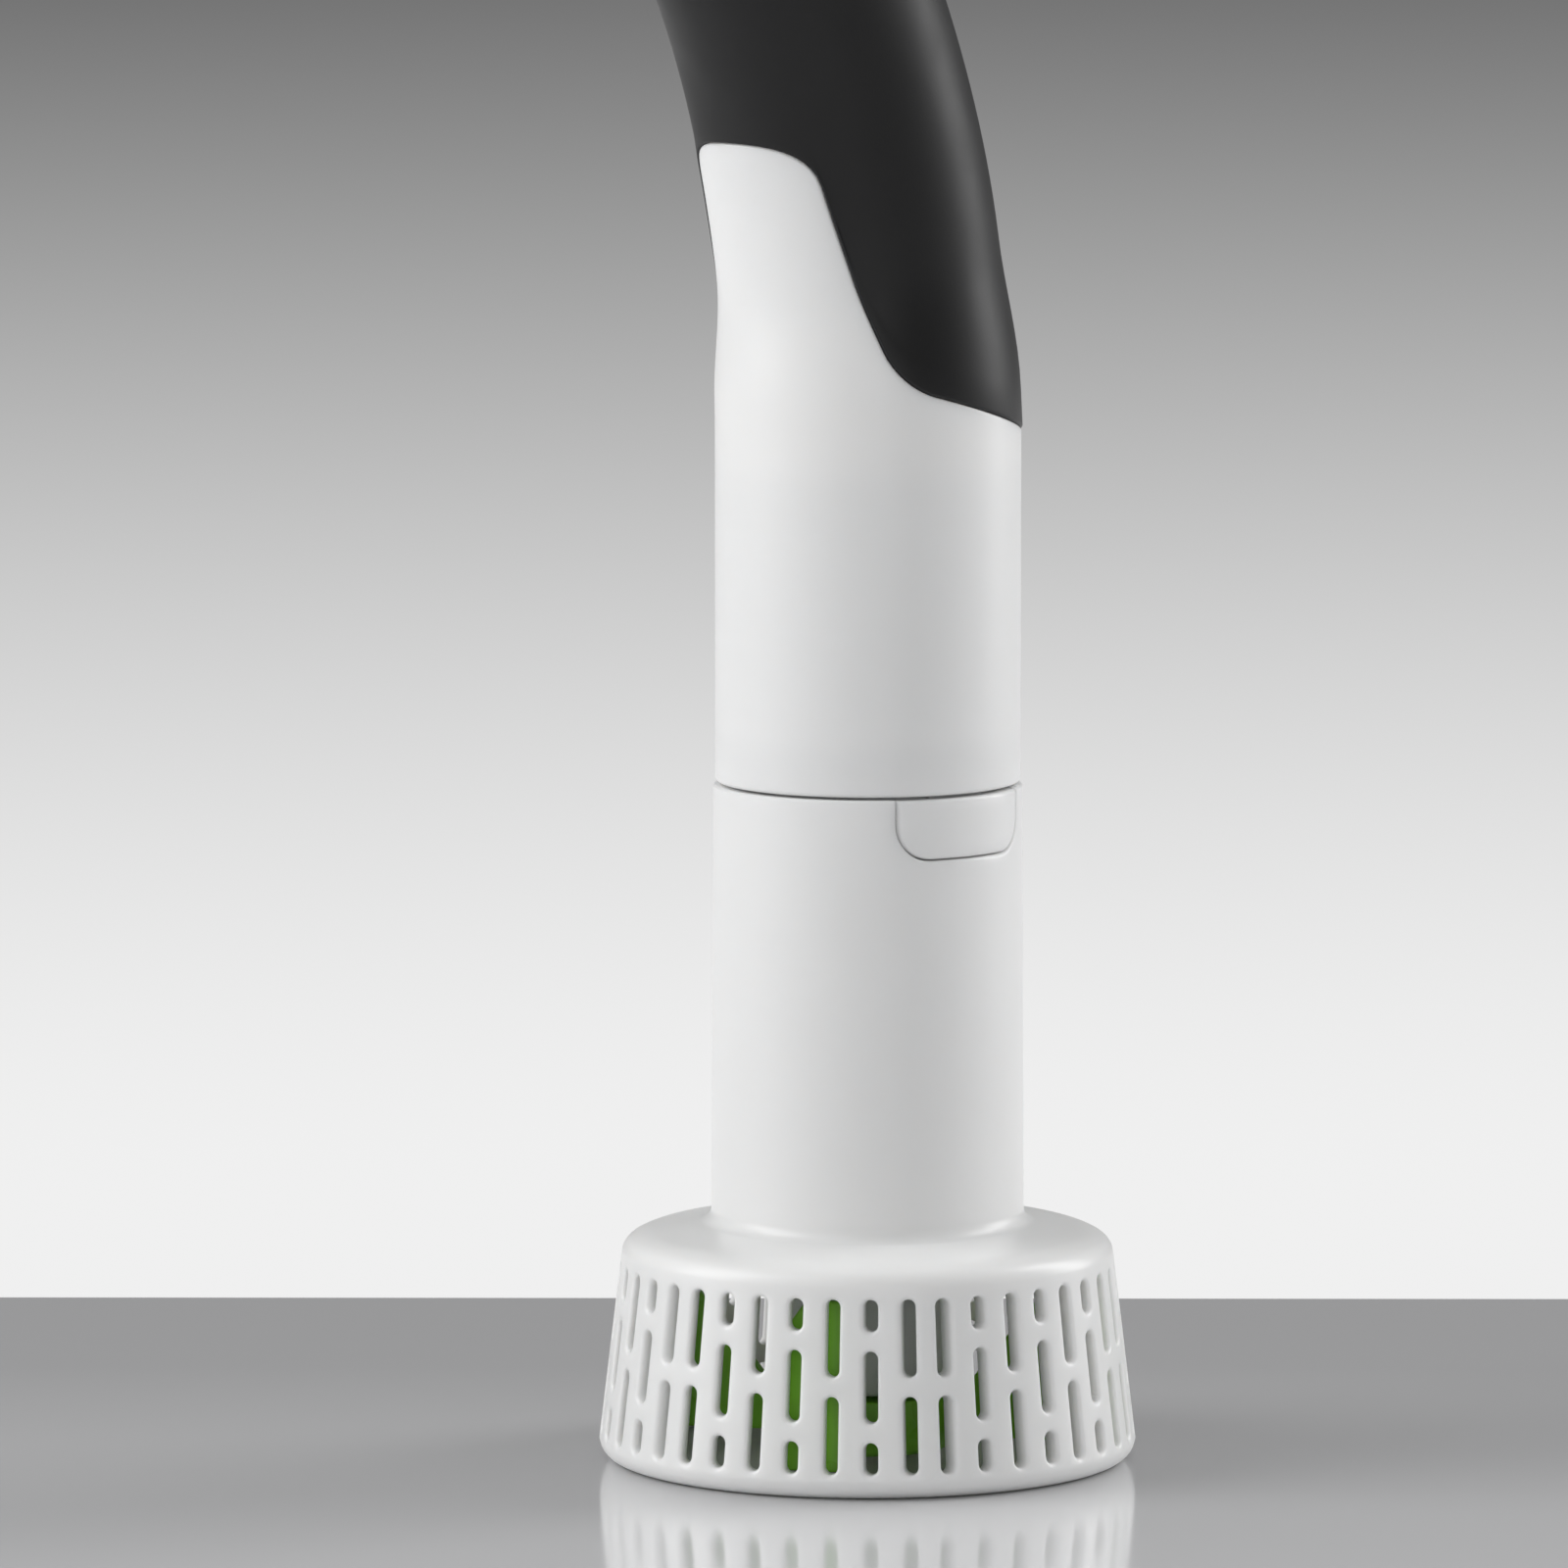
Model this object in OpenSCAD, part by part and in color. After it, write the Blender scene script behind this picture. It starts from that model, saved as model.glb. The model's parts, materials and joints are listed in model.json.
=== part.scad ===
// Electric potato masher: a motor unit with a curved grip, standing on a detachable masher foot.
// Millimetres, +Z up. The origin is on the drive axis, in the plane that the cage's rim stands on.
// The handle leans towards -Y, and the two release tabs are at +X and -X.

/* [Cage] */
// Radius of the cage cone, carried down to the standing plane
base_r = 46.3; // [40:0.2:55]
// Height where the shoulder runs into the tube
cage_h = 43.6; // [38:0.2:54]
// Slope of the cage wall from vertical, degrees
cage_taper = 6.9; // [3:0.5:9]
// Slope of the shoulder from level, degrees
shoulder_slope = 19; // [10:1:26]
// Thickness of the cage wall
cage_wall = 3; // [2:0.1:4]
// Radius of the rounding between cage and shoulder
shoulder_round = 6; // [3:0.5:8]
// Radius of the rounding under the rim
rim_round = 3.5; // [2:0.25:4]

/* [Slots] */
// Number of slot columns round the cage, a multiple of seven
slot_columns = 42; // [28:7:49]
// Width of a slot
slot_w = 2.5; // [1.5:0.1:3.2]
// Height of the lowest slot end above the standing plane
slot_low = 4.3; // [4:0.1:7]
// Height left between the slots and the edge of the shoulder
slot_margin = 4.9; // [4:0.1:8]
// Web left between two slots of a column
slot_gap = 3.2; // [2:0.1:5]
// Length of the short slots in a column of three
short_slot = 5.4; // [4:0.1:7]

/* [Foot tube] */
// How far the foot's tube stands proud of the motor housing at the joint
tube_proud = 0.3; // [0:0.1:1]
// How much wider the tube is at the shoulder
tube_flare = 0.4; // [0:0.1:1]
// Wall of the foot's tube
tube_wall = 2.6; // [2:0.1:3]
// Height of the joint between foot and motor unit
joint_z = 116; // [100:1:140]
// Visible gap at the joint
joint_gap = 0.45; // [0.3:0.05:1]
// Length of the collar that enters the motor unit
collar_h = 10; // [8:0.5:14]

/* [Rotor] */
// Gap between the paddles and the cage wall
rotor_gap = 2; // [1:0.1:3]
// Arc covered by a paddle, degrees
paddle_arc = 17; // [10:1:26]
// Thickness of a paddle
paddle_t = 2.4; // [1.8:0.1:3.5]
// Thickness of a web between hub and paddle
web_t = 2.6; // [1.8:0.1:4]
// Height of the paddles' lower edge above the standing plane
rotor_low = 4; // [3:0.5:8]
// Height of the hub's underside above the standing plane
hub_low = 2; // [1.5:0.5:4]
// Height of the hub's top above the standing plane
hub_top = 11.5; // [10:0.5:14]
// Direction of the first paddle, degrees
rotor_turn = 35.3; // [0:0.1:90]

/* [Motor unit] */
// Outer radius of the motor housing
sleeve_r = 26; // [25:0.1:31.2]
// How much slimmer the handle is above the waist
waist_in = 1.9; // [0.5:0.1:2.3]
// How much more the grip tapers from the waist to the trigger
grip_taper = 1.15; // [0:0.05:1.4]
// Wall of the motor housing
sleeve_wall = 2.3; // [1.8:0.1:2.6]
// Thickness of the soft grip at its slimmest
grip_t = 1.8; // [1.6:0.1:2.2]
// Length of the straight part of the motor unit, above the joint
straight_h = 60; // [58:1:76]
// Radius of the handle's centre line
bend_r = 186; // [154:1:230]
// Lean of the handle at its end, degrees
bend_end = 52; // [46:1:60]
// Height of the housing's front tongue above the start of the bend
tongue_h = 50.5; // [40:0.5:56]
// Height of the housing's edge at the back, below the start of the bend
seam_drop = 1.2; // [0:0.1:6]
// Gap between housing and grip at the seam
seam_gap = 0.15; // [0.1:0.05:0.4]

/* [Trigger] */
// Place of the trigger along the bend, degrees
trigger_at = 35; // [30:1:38]
// Length of the trigger
trigger_l = 36; // [28:1:42]
// Width of the trigger
trigger_w = 15; // [12:0.5:18]
// How far the trigger stands out of the grip
trigger_out = 3; // [2.5:0.1:4]

/* [Gears] */
// Gear module
gear_m = 0.85; // [0.7:0.05:0.85]
// Face width of the gears
gear_w = 13; // [8:0.5:16]

/* [Shafts] */
// Radius of the output shaft
output_r = 5; // [4:0.1:5.5]
// Radius of the input shaft
input_r = 3; // [2.5:0.1:3.4]
// Radius of the motor shaft
motor_shaft_r = 2.5; // [2:0.1:3]
// Radial running clearance of shafts in their bushes
run = 0.05; // [0.02:0.01:0.1]

/* [Cord inlet] */
// Radius of the hole that the cord passes through
cord_r = 3.6; // [2.5:0.1:4.5]

/* [Hidden] */

$fn = 96;

white = "#eceae6";
grey = "#9a9c9e";
charcoal = "#2b2b2c";
green = "#5aa02c";
steel = "#b9bdc2";
brass = "#c9a24b";
black = "#1b1b1c";

tube_r = sleeve_r + tube_proud;
grip_r = sleeve_r - waist_in - grip_taper;
bend_z = joint_z + straight_h;
tongue_z = bend_z + tongue_h;
seam_back_z = bend_z - seam_drop;

snug = 0.1;      // clearance between pieces of one body that are pushed together
slack = 0.3;     // clearance between a moving piece and what it passes

// ---------------------------------------------------------------- outlines

function unit(v) = v / norm(v);

// Points of the arc that rounds corner b between neighbours a and c
function round_corner(a, b, c, r, steps) =
    let (
        u = unit(a - b), v = unit(c - b),
        half = acos(u * v) / 2,
        centre = b + unit(u + v) * r / sin(half),
        first = b + u * r / tan(half) - centre,
        last = b + v * r / tan(half) - centre,
        from = atan2(first.y, first.x),
        sweep = ((atan2(last.y, last.x) - from + 540) % 360) - 180
    )
    [for (i = [0:steps]) centre + r * [cos(from + sweep * i / steps), sin(from + sweep * i / steps)]];

// Closed outline through [x, y, radius] corners, each rounded by its radius
function rounded(corners, steps = 6) =
    let (n = len(corners), p = [for (c = corners) [c.x, c.y]])
    [for (i = [0:n - 1]) each (corners[i][2] > 0
        ? round_corner(p[(i + n - 1) % n], p[i], p[(i + 1) % n], corners[i][2], steps)
        : [p[i]])];

module ring(r_out, r_in, h) {
    difference() {
        cylinder(r = r_out, h = h);
        translate([0, 0, -1]) cylinder(r = r_in, h = h + 2);
    }
}

// ---------------------------------------------------------------- cage and foot

taper = tan(cage_taper);
slope = tan(shoulder_slope);
tube_low_r = tube_r + tube_flare;
tube_in_r = tube_r - tube_wall;
function cage_out(z) = base_r - z * taper;
function cage_in(z) = cage_out(z) - cage_wall / cos(cage_taper);
function shoulder_z(r) = cage_h - (r - tube_low_r) * slope;

corner_r = (base_r - taper * (cage_h + slope * tube_low_r)) / (1 - taper * slope);
ceiling_drop = cage_wall / cos(shoulder_slope);
slot_top = shoulder_z(corner_r) - slot_margin;
slot_band = slot_top - slot_low;
in_corner_r = (cage_in(0) - taper * (cage_h - ceiling_drop + slope * tube_low_r)) / (1 - taper * slope);

boss_r = output_r + 10;
boss_low = hub_top + 1;
bush_wall = 2.5;
boss_bore = output_r + bush_wall;
ceiling_z = cage_h - ceiling_drop;
tube_floor = ceiling_z + cage_wall;
paddle_low_r = cage_in(rotor_low) - rotor_gap;
rim_in_r = paddle_low_r + 0.5;
rim_lip = 3.4;

tab_arc = 30.6;   // half of the arc that a release tab covers, degrees
tab_h = 10.2;
tab_half = tube_r * sin(tab_arc);
tab_low = joint_z - tab_h;
tab_round = 6;
tab_slit = 0.35;
skirt_wall = 3;   // wall of the motor housing round the collar
collar_r = sleeve_r - skirt_wall - slack;
collar_wall = 1.8;
arm_half = 6;
latch_pivot_r = tube_in_r - 3;
latch_pivot_z = tab_low - 4.8;
latch_pin_r = 1.25;

// Outline of the foot's wall: cage, shoulder, tube, and back down the inside
foot_profile = rounded([
    [rim_in_r, 0, 0.4],
    [cage_out(0), 0, rim_round],
    [corner_r, shoulder_z(corner_r), shoulder_round],
    [tube_low_r, cage_h, 3],
    [tube_r, joint_z - 0.3, 0],
    [tube_r - 0.3, joint_z, 0],
    [tube_in_r, joint_z, 0],
    [tube_in_r, tube_floor, 2],
    [boss_bore - 1.5, tube_floor, 0],
    [boss_bore - 1.5, tube_floor - 3, 0],
    [boss_bore, tube_floor - 3, 0],
    [boss_bore, boss_low, 0],
    [boss_r, boss_low, 1],
    [boss_r, ceiling_z, 3],
    [tube_low_r, ceiling_z, 0],
    [in_corner_r, shoulder_z(in_corner_r) - ceiling_drop, shoulder_round - 2],
    [cage_in(rim_lip + 2), rim_lip + 2, 0],
    [rim_in_r, rim_lip, 0]
]);

module slot(low, high) {
    translate([-slot_w / 2, low + slot_w / 2]) square([slot_w, high - low - slot_w]);
    translate([0, low + slot_w / 2]) circle(d = slot_w, $fn = 24);
    translate([0, high - slot_w / 2]) circle(d = slot_w, $fn = 24);
}

long_slot = (slot_band - slot_gap) / 2;

module column_of_two() {
    slot(slot_low, slot_low + long_slot);
    slot(slot_top - long_slot, slot_top);
}

module column_of_three() {
    slot(slot_low, slot_low + short_slot);
    slot(slot_low + short_slot + slot_gap, slot_top - short_slot - slot_gap);
    slot(slot_top - short_slot, slot_top);
}

// Columns of two and three slots alternate in groups of seven that start and end with two
module slot_cutters() {
    pitch = 360 / slot_columns;
    depth = cage_wall + 6;
    for (i = [0:slot_columns - 1])
        rotate([0, 0, -90 + (i + 0.5) * pitch])
            translate([cage_in(slot_top) - 2, 0, 0])
                rotate([90, 0, 90])
                    linear_extrude(depth + slot_band * taper)
                        if ((i % 7) % 2 == 0) column_of_two(); else column_of_three();
}

// U-shaped outline of the tab, looking inwards along X
module tab_outline(grow) {
    low = tab_low - grow;
    polygon(rounded([
        [-tab_half - grow, joint_z + 5, 0],
        [-tab_half - grow, low, tab_round],
        [tab_half + grow, low, tab_round],
        [tab_half + grow, joint_z + 5, 0]
    ]));
}

module along_x(side) {
    rotate([0, 0, side > 0 ? 0 : 180]) rotate([90, 0, 90]) children();
}

collar_low = joint_z - 9;
collar_top = joint_z + collar_h;

module masher_foot() color(white) difference() {
    union() {
        rotate_extrude() polygon(foot_profile);
        // collar that the motor unit slips over, standing on a step inside the tube
        rotate_extrude() polygon([
            [tube_in_r + 0.5, collar_low - 3], [tube_in_r + 0.5, joint_z - 1], [collar_r, joint_z - 1],
            [collar_r, collar_top - 0.8], [collar_r - 0.6, collar_top], [collar_r - collar_wall, collar_top],
            [collar_r - collar_wall, collar_low]
        ]);
        // ears that hold the latch pins
        for (side = [1, -1], s = [1, -1])
            along_x(side) translate([s * (arm_half + 2.3), latch_pivot_z, latch_pivot_r - 3])
                linear_extrude(tube_in_r - latch_pivot_r + 3) translate([-1.6, -3]) square([3.2, 6]);
        // seats of the gearbox base
        for (a = [30:120:270])
            rotate([0, 0, a]) translate([tube_in_r - 3, -2, tube_floor])
                cube([3.6, 4, gear_base_z - tube_floor]);
    }
    slot_cutters();
    for (side = [1, -1]) {
        // opening for the tab, down to the collar
        difference() {
            along_x(side) translate([0, 0, 10]) linear_extrude(30) tab_outline(tab_slit);
            translate([0, 0, tab_low - 5]) cylinder(r = collar_r, h = 60);
        }
        // window that the arm passes through
        along_x(side) translate([0, 0, collar_r - collar_wall - 1.5])
            linear_extrude(tube_in_r - 0.1 - collar_r + collar_wall + 1.5)
                translate([-arm_half - slack, latch_pivot_z - 3.5]) square([2 * (arm_half + slack), 60]);
        translate([side * latch_pivot_r, 0, latch_pivot_z]) rotate([90, 0, 0])
            cylinder(r = latch_pin_r, h = 2 * (arm_half + 4), center = true, $fn = 32);
    }
}

// ---------------------------------------------------------------- release latches

latch_play = 0.05;
nose_z = joint_z + 6;

module release_latch(side) difference() {
    union() {
        // the tab, part of the tube's own wall
        intersection() {
            translate([0, 0, tab_low]) ring(tube_r, tube_in_r + 0.2, joint_z - tab_low - 0.1);
            along_x(side) translate([0, 0, 10]) linear_extrude(30) tab_outline(0);
        }
        // the arm behind it, with the catch at its upper end
        intersection() {
            rotate([0, 0, side > 0 ? 0 : 180]) rotate([90, 0, 0])
                linear_extrude(2 * arm_half, center = true) polygon([
                [latch_pivot_r - 2.4, latch_pivot_z - 2.4], [latch_pivot_r + 1.4, latch_pivot_z - 2.4],
                [latch_pivot_r + 1.4, tab_low + 0.6], [tube_in_r + 0.6, tab_low + 2],
                [tube_in_r + 0.6, joint_z - 1.5],
                [collar_r - 0.6, joint_z - 0.4], [collar_r - 0.6, nose_z - 2],
                [skirt_r - 0.2, nose_z - 1.6], [skirt_r - 0.2, nose_z - 0.6], [collar_r - 1.2, nose_z + 2.4],
                [collar_r - 2.4, nose_z + 2.4], [collar_r - 2.4, tab_low + 2],
                [latch_pivot_r - 2.4, tab_low - 1]
            ]);
            union() {
                cylinder(r = tube_in_r + 0.7, h = joint_z - 0.4);
                cylinder(r = skirt_r - 0.2, h = nose_z + 5);
            }
        }
    }
    translate([side * latch_pivot_r, 0, latch_pivot_z]) rotate([90, 0, 0])
        cylinder(r = latch_pin_r + latch_play, h = 60, center = true, $fn = 32);
}

module release_latch_right() color(white) release_latch(1);
module release_latch_left() color(white) release_latch(-1);

module latch_pins() color(steel)
    for (side = [1, -1])
        translate([side * latch_pivot_r, 0, latch_pivot_z]) rotate([90, 0, 0])
            cylinder(r = latch_pin_r - 0.02, h = 2 * (arm_half + 3.6), center = true, $fn = 32);

latch_spring_z = tab_low + 4.2;
module latch_spring(side) color(steel)
    translate([side * (spring_seat_r + 0.05), 0, latch_spring_z]) rotate([0, side * 90, 0])
        coil(2.2, 0.3, collar_r - 2.4 - spring_seat_r - 0.1, 4);

module latch_spring_right() latch_spring(1);
module latch_spring_left() latch_spring(-1);

// A coil spring as a stack of rings, standing on the origin
module coil(r, wire, h, turns) {
    step = (h - 2 * wire) / turns;
    for (i = [0:turns])
        translate([0, 0, wire + i * step])
            rotate_extrude($fn = 48) translate([r, 0]) circle(r = wire, $fn = 16);
    for (a = [0:180:180])
        rotate([0, 0, a]) translate([r, 0, wire / 2]) cylinder(r = wire / 2, h = h - wire, $fn = 16);
}

// ---------------------------------------------------------------- gearbox

sun_teeth = 12;
planet_teeth = 18;
ring_teeth = sun_teeth + 2 * planet_teeth;
planets = 3;
pressure = 25;
addendum = 0.8 * gear_m;
dedendum = 1.1 * gear_m;
backlash = 0.07;
axle_r = gear_m * (sun_teeth + planet_teeth) / 2;

function involute(a) = tan(a) * 180 / PI - a;
// Half the angle of a tooth at radius r
function half_tooth(teeth, r) =
    let (pitch_r = gear_m * teeth / 2, base = pitch_r * cos(pressure), at = max(r, base + 0.001))
    90 / teeth + involute(pressure) - involute(acos(base / at));

// Outline with one tooth centred on +X when phase is 0; thin is taken off each flank
function gear_outline(teeth, root, tip, thin, phase) = [
    for (i = [0:teeth - 1], k = [-3:3])
        let (
            r = [root, gear_m * teeth / 2, tip][3 - abs(k) > 2 ? 2 : 3 - abs(k)],
            swing = k == 0 ? 0 : sign(k) * (half_tooth(teeth, r) - thin / r * 180 / PI),
            a = (i + phase) * 360 / teeth + swing
        )
        r * [cos(a), sin(a)]
];

coupling_low = joint_z - 10;
gear_clear = 15;   // from the gears' top up to the coupling: cover, its boss and the bush
carrier_room = 8;  // from the base's underside up to the gears: base and planet carrier
gear_top = coupling_low - gear_clear;
gear_z = gear_top - gear_w;
gear_base_z = gear_z - carrier_room;
ring_in = gear_m * ring_teeth / 2;
case_r = tube_in_r - snug;
carrier_t = 3;
base_t = 4;
cover_t = 3;
cover_screw_r = 0.8;
cover_screw_at = case_r - 2 * cover_screw_r;

module ring_gear() color(grey) difference() {
    translate([0, 0, gear_base_z + base_t]) cylinder(r = case_r, h = gear_top + 1 - gear_base_z - base_t);
    translate([0, 0, gear_z - 1.5]) linear_extrude(gear_w + 10)
        polygon(gear_outline(ring_teeth, ring_in - addendum, ring_in + dedendum, -backlash, 0.5));
    translate([0, 0, gear_base_z]) cylinder(r = ring_in - addendum, h = gear_z - gear_base_z);
    screw_holes(gear_base_z, 40);
}

module screw_holes(z, h) {
    for (a = [90:120:330]) rotate([0, 0, a]) translate([cover_screw_at, 0, z])
        cylinder(r = cover_screw_r, h = h, $fn = 24);
}

module gearbox_base() color(grey) difference() {
    translate([0, 0, gear_base_z]) union() {
        cylinder(r = case_r, h = base_t);
        translate([0, 0, -6]) cylinder(r = output_r + 6, h = 7);
    }
    translate([0, 0, gear_base_z - 10]) cylinder(r = output_r + bush_wall, h = 30);
}

module gearbox_cover() color(grey) difference() {
    translate([0, 0, gear_top + 1]) union() {
        cylinder(r = case_r, h = cover_t);
        cylinder(r = input_r + 5, h = cover_t + 4);
        // posts behind the latches that their springs push against
        for (side = [1, -1]) translate([side * (spring_seat_r - 1.5) - 1.5, -4, 0])
            cube([3, 8, latch_spring_z + 3.5 - gear_top - 1]);
    }
    translate([0, 0, gear_top]) cylinder(r = input_r + 2, h = 30);
    screw_holes(gear_base_z, 60);
}

spring_seat_r = collar_r - 8;

module cover_screws() color(steel)
    for (a = [90:120:330]) rotate([0, 0, a]) translate([cover_screw_at, 0, gear_top + 1 + cover_t]) {
        cylinder(r1 = 1.6, r2 = 1.2, h = 1.2, $fn = 24);
        translate([0, 0, -9]) cylinder(r = cover_screw_r - 0.02, h = 9.1, $fn = 24);
    }

module input_bush() color(brass)
    translate([0, 0, gear_top + 1]) ring(input_r + 2, input_r + run, 7.5);

module output_bush() color(brass)
    translate([0, 0, gear_base_z - 6]) ring(output_r + bush_wall, output_r + run, base_t + 6);

module shaft_bush() color(brass)
    translate([0, 0, boss_low + 4]) ring(boss_bore, output_r + run, tube_floor - 3 - boss_low - 4);

module shaft_seal() color(black) {
    translate([0, 0, boss_low + 0.3]) ring(boss_bore, output_r + run + 0.05, 3.5);
}

module input_shaft() color(steel) {
    translate([0, 0, gear_z]) cylinder(r = input_r, h = coupling_low - 2 - gear_z);
    translate([0, 0, coupling_low - 3]) cylinder(r = input_r - 0.1, h = joint_z - coupling_low + 2, $fn = 6);
}

module sun_gear() color(steel) difference() {
    translate([0, 0, gear_z]) linear_extrude(gear_w)
        polygon(gear_outline(sun_teeth, gear_m * sun_teeth / 2 - dedendum,
                             gear_m * sun_teeth / 2 + addendum, backlash, 0));
    translate([0, 0, gear_z - 1]) cylinder(r = input_r, h = gear_w + 2);
}

planet_pin_r = 2;

module planet_carrier() color(steel) difference() {
    translate([0, 0, gear_base_z + base_t + 0.3]) cylinder(r = axle_r + 4, h = carrier_t);
    translate([0, 0, gear_base_z]) cylinder(r = output_r - 1, h = 20, $fn = 6);
    for (k = [0:planets - 1]) rotate([0, 0, k * 360 / planets]) translate([axle_r, 0, gear_base_z])
        cylinder(r = planet_pin_r, h = 20, $fn = 48);
}

module planet_pins() color(steel)
    for (k = [0:planets - 1]) rotate([0, 0, k * 360 / planets])
        translate([axle_r, 0, gear_base_z + base_t + 0.3])
            cylinder(r = planet_pin_r, h = carrier_t + gear_w + 0.8, $fn = 48);

module planet_gear(k) color(white)
    rotate([0, 0, k * 360 / planets]) translate([axle_r, 0, gear_z]) difference() {
        linear_extrude(gear_w)
            polygon(gear_outline(planet_teeth, gear_m * planet_teeth / 2 - dedendum,
                                 gear_m * planet_teeth / 2 + addendum, backlash, 0.5));
        translate([0, 0, -1]) cylinder(r = planet_pin_r + run, h = gear_w + 2, $fn = 48);
    }

module planet_gear_1() planet_gear(0);
module planet_gear_2() planet_gear(1);
module planet_gear_3() planet_gear(2);

// ---------------------------------------------------------------- rotor

hub_r = boss_r;
paddle_top = slot_top - 1;
screw_r = 2;
screw_head = 2;
screw_head_r = 5;

module output_shaft() color(steel) difference() {
    union() {
        translate([0, 0, hub_top - 1]) cylinder(r = output_r, h = gear_base_z + base_t + 0.2 - hub_top + 1);
        translate([0, 0, hub_low + 4]) cylinder(r = output_r - 1, h = hub_top, $fn = 6);
        translate([0, 0, gear_base_z + base_t]) cylinder(r = output_r - 1.02, h = carrier_t, $fn = 6);
    }
    translate([0, 0, hub_low]) cylinder(r = screw_r, h = 14, $fn = 32);
}

module rotor_screw() color(steel) {
    translate([0, 0, hub_low + 0.5]) difference() {
        cylinder(r = screw_head_r, h = screw_head, $fn = 48);
        translate([0, 0, -0.1]) cylinder(r = 2, h = 1.3, $fn = 6);
    }
    translate([0, 0, hub_low + 0.4 + screw_head]) cylinder(r = screw_r - 0.03, h = 11, $fn = 32);
}

// Web seen from the side: low at the hub, rising in a curve to the paddle
module web_outline() {
    tip_r = cage_in(paddle_top) - rotor_gap - paddle_t / 2;
    polygon(rounded([
        [hub_r - 3, rotor_low, 0],
        [paddle_low_r - paddle_t / 2, rotor_low, 0],
        [tip_r, paddle_top, 0],
        [tip_r - 4.5, paddle_top, 2],
        [boss_r + 1.4, hub_top, 2],
        [hub_r - 3, hub_top, 0]
    ]));
}

module masher_rotor() color(green) difference() {
    union() {
        rotate_extrude() polygon(rounded([
            [0, hub_low, 0], [hub_r, hub_low, 1.5], [hub_r, hub_top, 0.4], [0, hub_top, 0]
        ]));
        for (k = [0:3]) rotate([0, 0, rotor_turn + k * 90]) {
            rotate([90, 0, 0]) linear_extrude(web_t, center = true) web_outline();
            // paddle, with its leading upper corner cut away
            difference() {
                rotate([0, 0, -paddle_arc / 2]) rotate_extrude(angle = paddle_arc) polygon([
                    [paddle_low_r - paddle_t, rotor_low], [paddle_low_r, rotor_low],
                    [cage_in(paddle_top) - rotor_gap, paddle_top],
                    [cage_in(paddle_top) - rotor_gap - paddle_t, paddle_top]
                ]);
                rotate([90, 0, 90]) linear_extrude(60) polygon([
                    [-8, paddle_top - 8], [-8, paddle_top + 1], [-1.5, paddle_top + 1]
                ]);
            }
        }
    }
    translate([0, 0, hub_low + 4]) cylinder(r = output_r - 0.98, h = 30, $fn = 6);
    translate([0, 0, hub_top - 1.1]) cylinder(r = output_r + snug, h = 5);
    translate([0, 0, -1]) cylinder(r = screw_r + 0.2, h = 20, $fn = 32);
    translate([0, 0, -1]) cylinder(r = screw_head_r + slack, h = hub_low + 1.6 + screw_head, $fn = 48);
}

// ---------------------------------------------------------------- outer form of the motor unit

sleeve_low = joint_z + joint_gap;
// leans, in degrees, where the waist starts and ends and where the grip stops tapering
waist_low = 2;
waist_high = 9.3;
taper_end = 28;

// Frame on the handle's centre line at a lean of a degrees: +Z along the handle, +Y to its back
module on_handle(a) {
    translate([0, -bend_r, bend_z]) rotate([a, 0, 0]) translate([0, bend_r, 0]) children();
}

// Sweep a flat outline round the bend; the outline's x runs to the handle's back
module bend(from, to) {
    translate([0, -bend_r, bend_z]) rotate([90, 0, 90]) rotate([0, 0, from])
        rotate_extrude(angle = to - from, $fn = 240) translate([bend_r, 0]) children();
}

function ease(t) = let (c = min(max(t, 0), 1)) c * c * (3 - 2 * c);
// Radius of the form at a lean of a degrees: the sleeve narrows at the waist, then tapers along the grip
function form_r(a) = sleeve_r - waist_in * ease((a - waist_low) / (waist_high - waist_low))
    - grip_taper * ease((a - waist_high) / (taper_end - waist_high));

form_sides = 48;
form_step = 2.6;

// Skin over round sections: straight up from low_z to the bend, then round it to a lean of to degrees
module form(low_z, to) {
    leans = [for (a = [0:form_step:to]) a];
    ringed = concat(
        [for (i = [0:form_sides - 1]) let (t = i * 360 / form_sides)
            [sleeve_r * cos(t), sleeve_r * sin(t), low_z]],
        [for (a = leans, i = [0:form_sides - 1])
            let (t = i * 360 / form_sides, r = form_r(a), out = bend_r + r * sin(t))
            [r * cos(t), out * cos(a) - bend_r, out * sin(a) + bend_z]]
    );
    rings = len(leans) + 1;
    polyhedron(ringed, concat(
        [[for (i = [0:form_sides - 1]) i]],
        [for (k = [0:rings - 2], i = [0:form_sides - 1])
            let (j = (i + 1) % form_sides, low = k * form_sides, high = low + form_sides)
            [low + i, high + i, high + j, low + j]],
        [[for (i = [form_sides - 1:-1:0]) (rings - 1) * form_sides + i]]
    ), convexity = 6);
}

core_r = grip_r - grip_t;
core_wall = 2;
core_in_r = core_r - core_wall;

// The line between housing and grip, seen from the side: flat over the tongue, then down to the back
seam_rise = 0.275;   // rise of the seam for each millimetre towards the front
seam_corner_in = 12.9;  // from the front of the housing in to the foot of the tongue
tongue_lean = 13.4;  // how far the tongue's edge leans to the front over its height
foot_round = 12;     // roundings at the tongue's foot and tip
tip_round = 10;
module housing_side(shift) {
    corner_y = seam_corner_in - sleeve_r;
    far = 2 * sleeve_r;
    polygon(rounded([
        [-3 * far, sleeve_low - far, 0], [far, sleeve_low - far, 0],
        [far, seam_back_z - (far - sleeve_r) * seam_rise - shift, 0],
        [corner_y, seam_back_z + (sleeve_r - corner_y) * seam_rise - shift, foot_round],
        [corner_y - tongue_lean, tongue_z - shift, tip_round],
        [-3 * far, tongue_z - shift, 0]
    ], 8));
}

module across_x(w) rotate([90, 0, 90]) linear_extrude(w, center = true) children();

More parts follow.
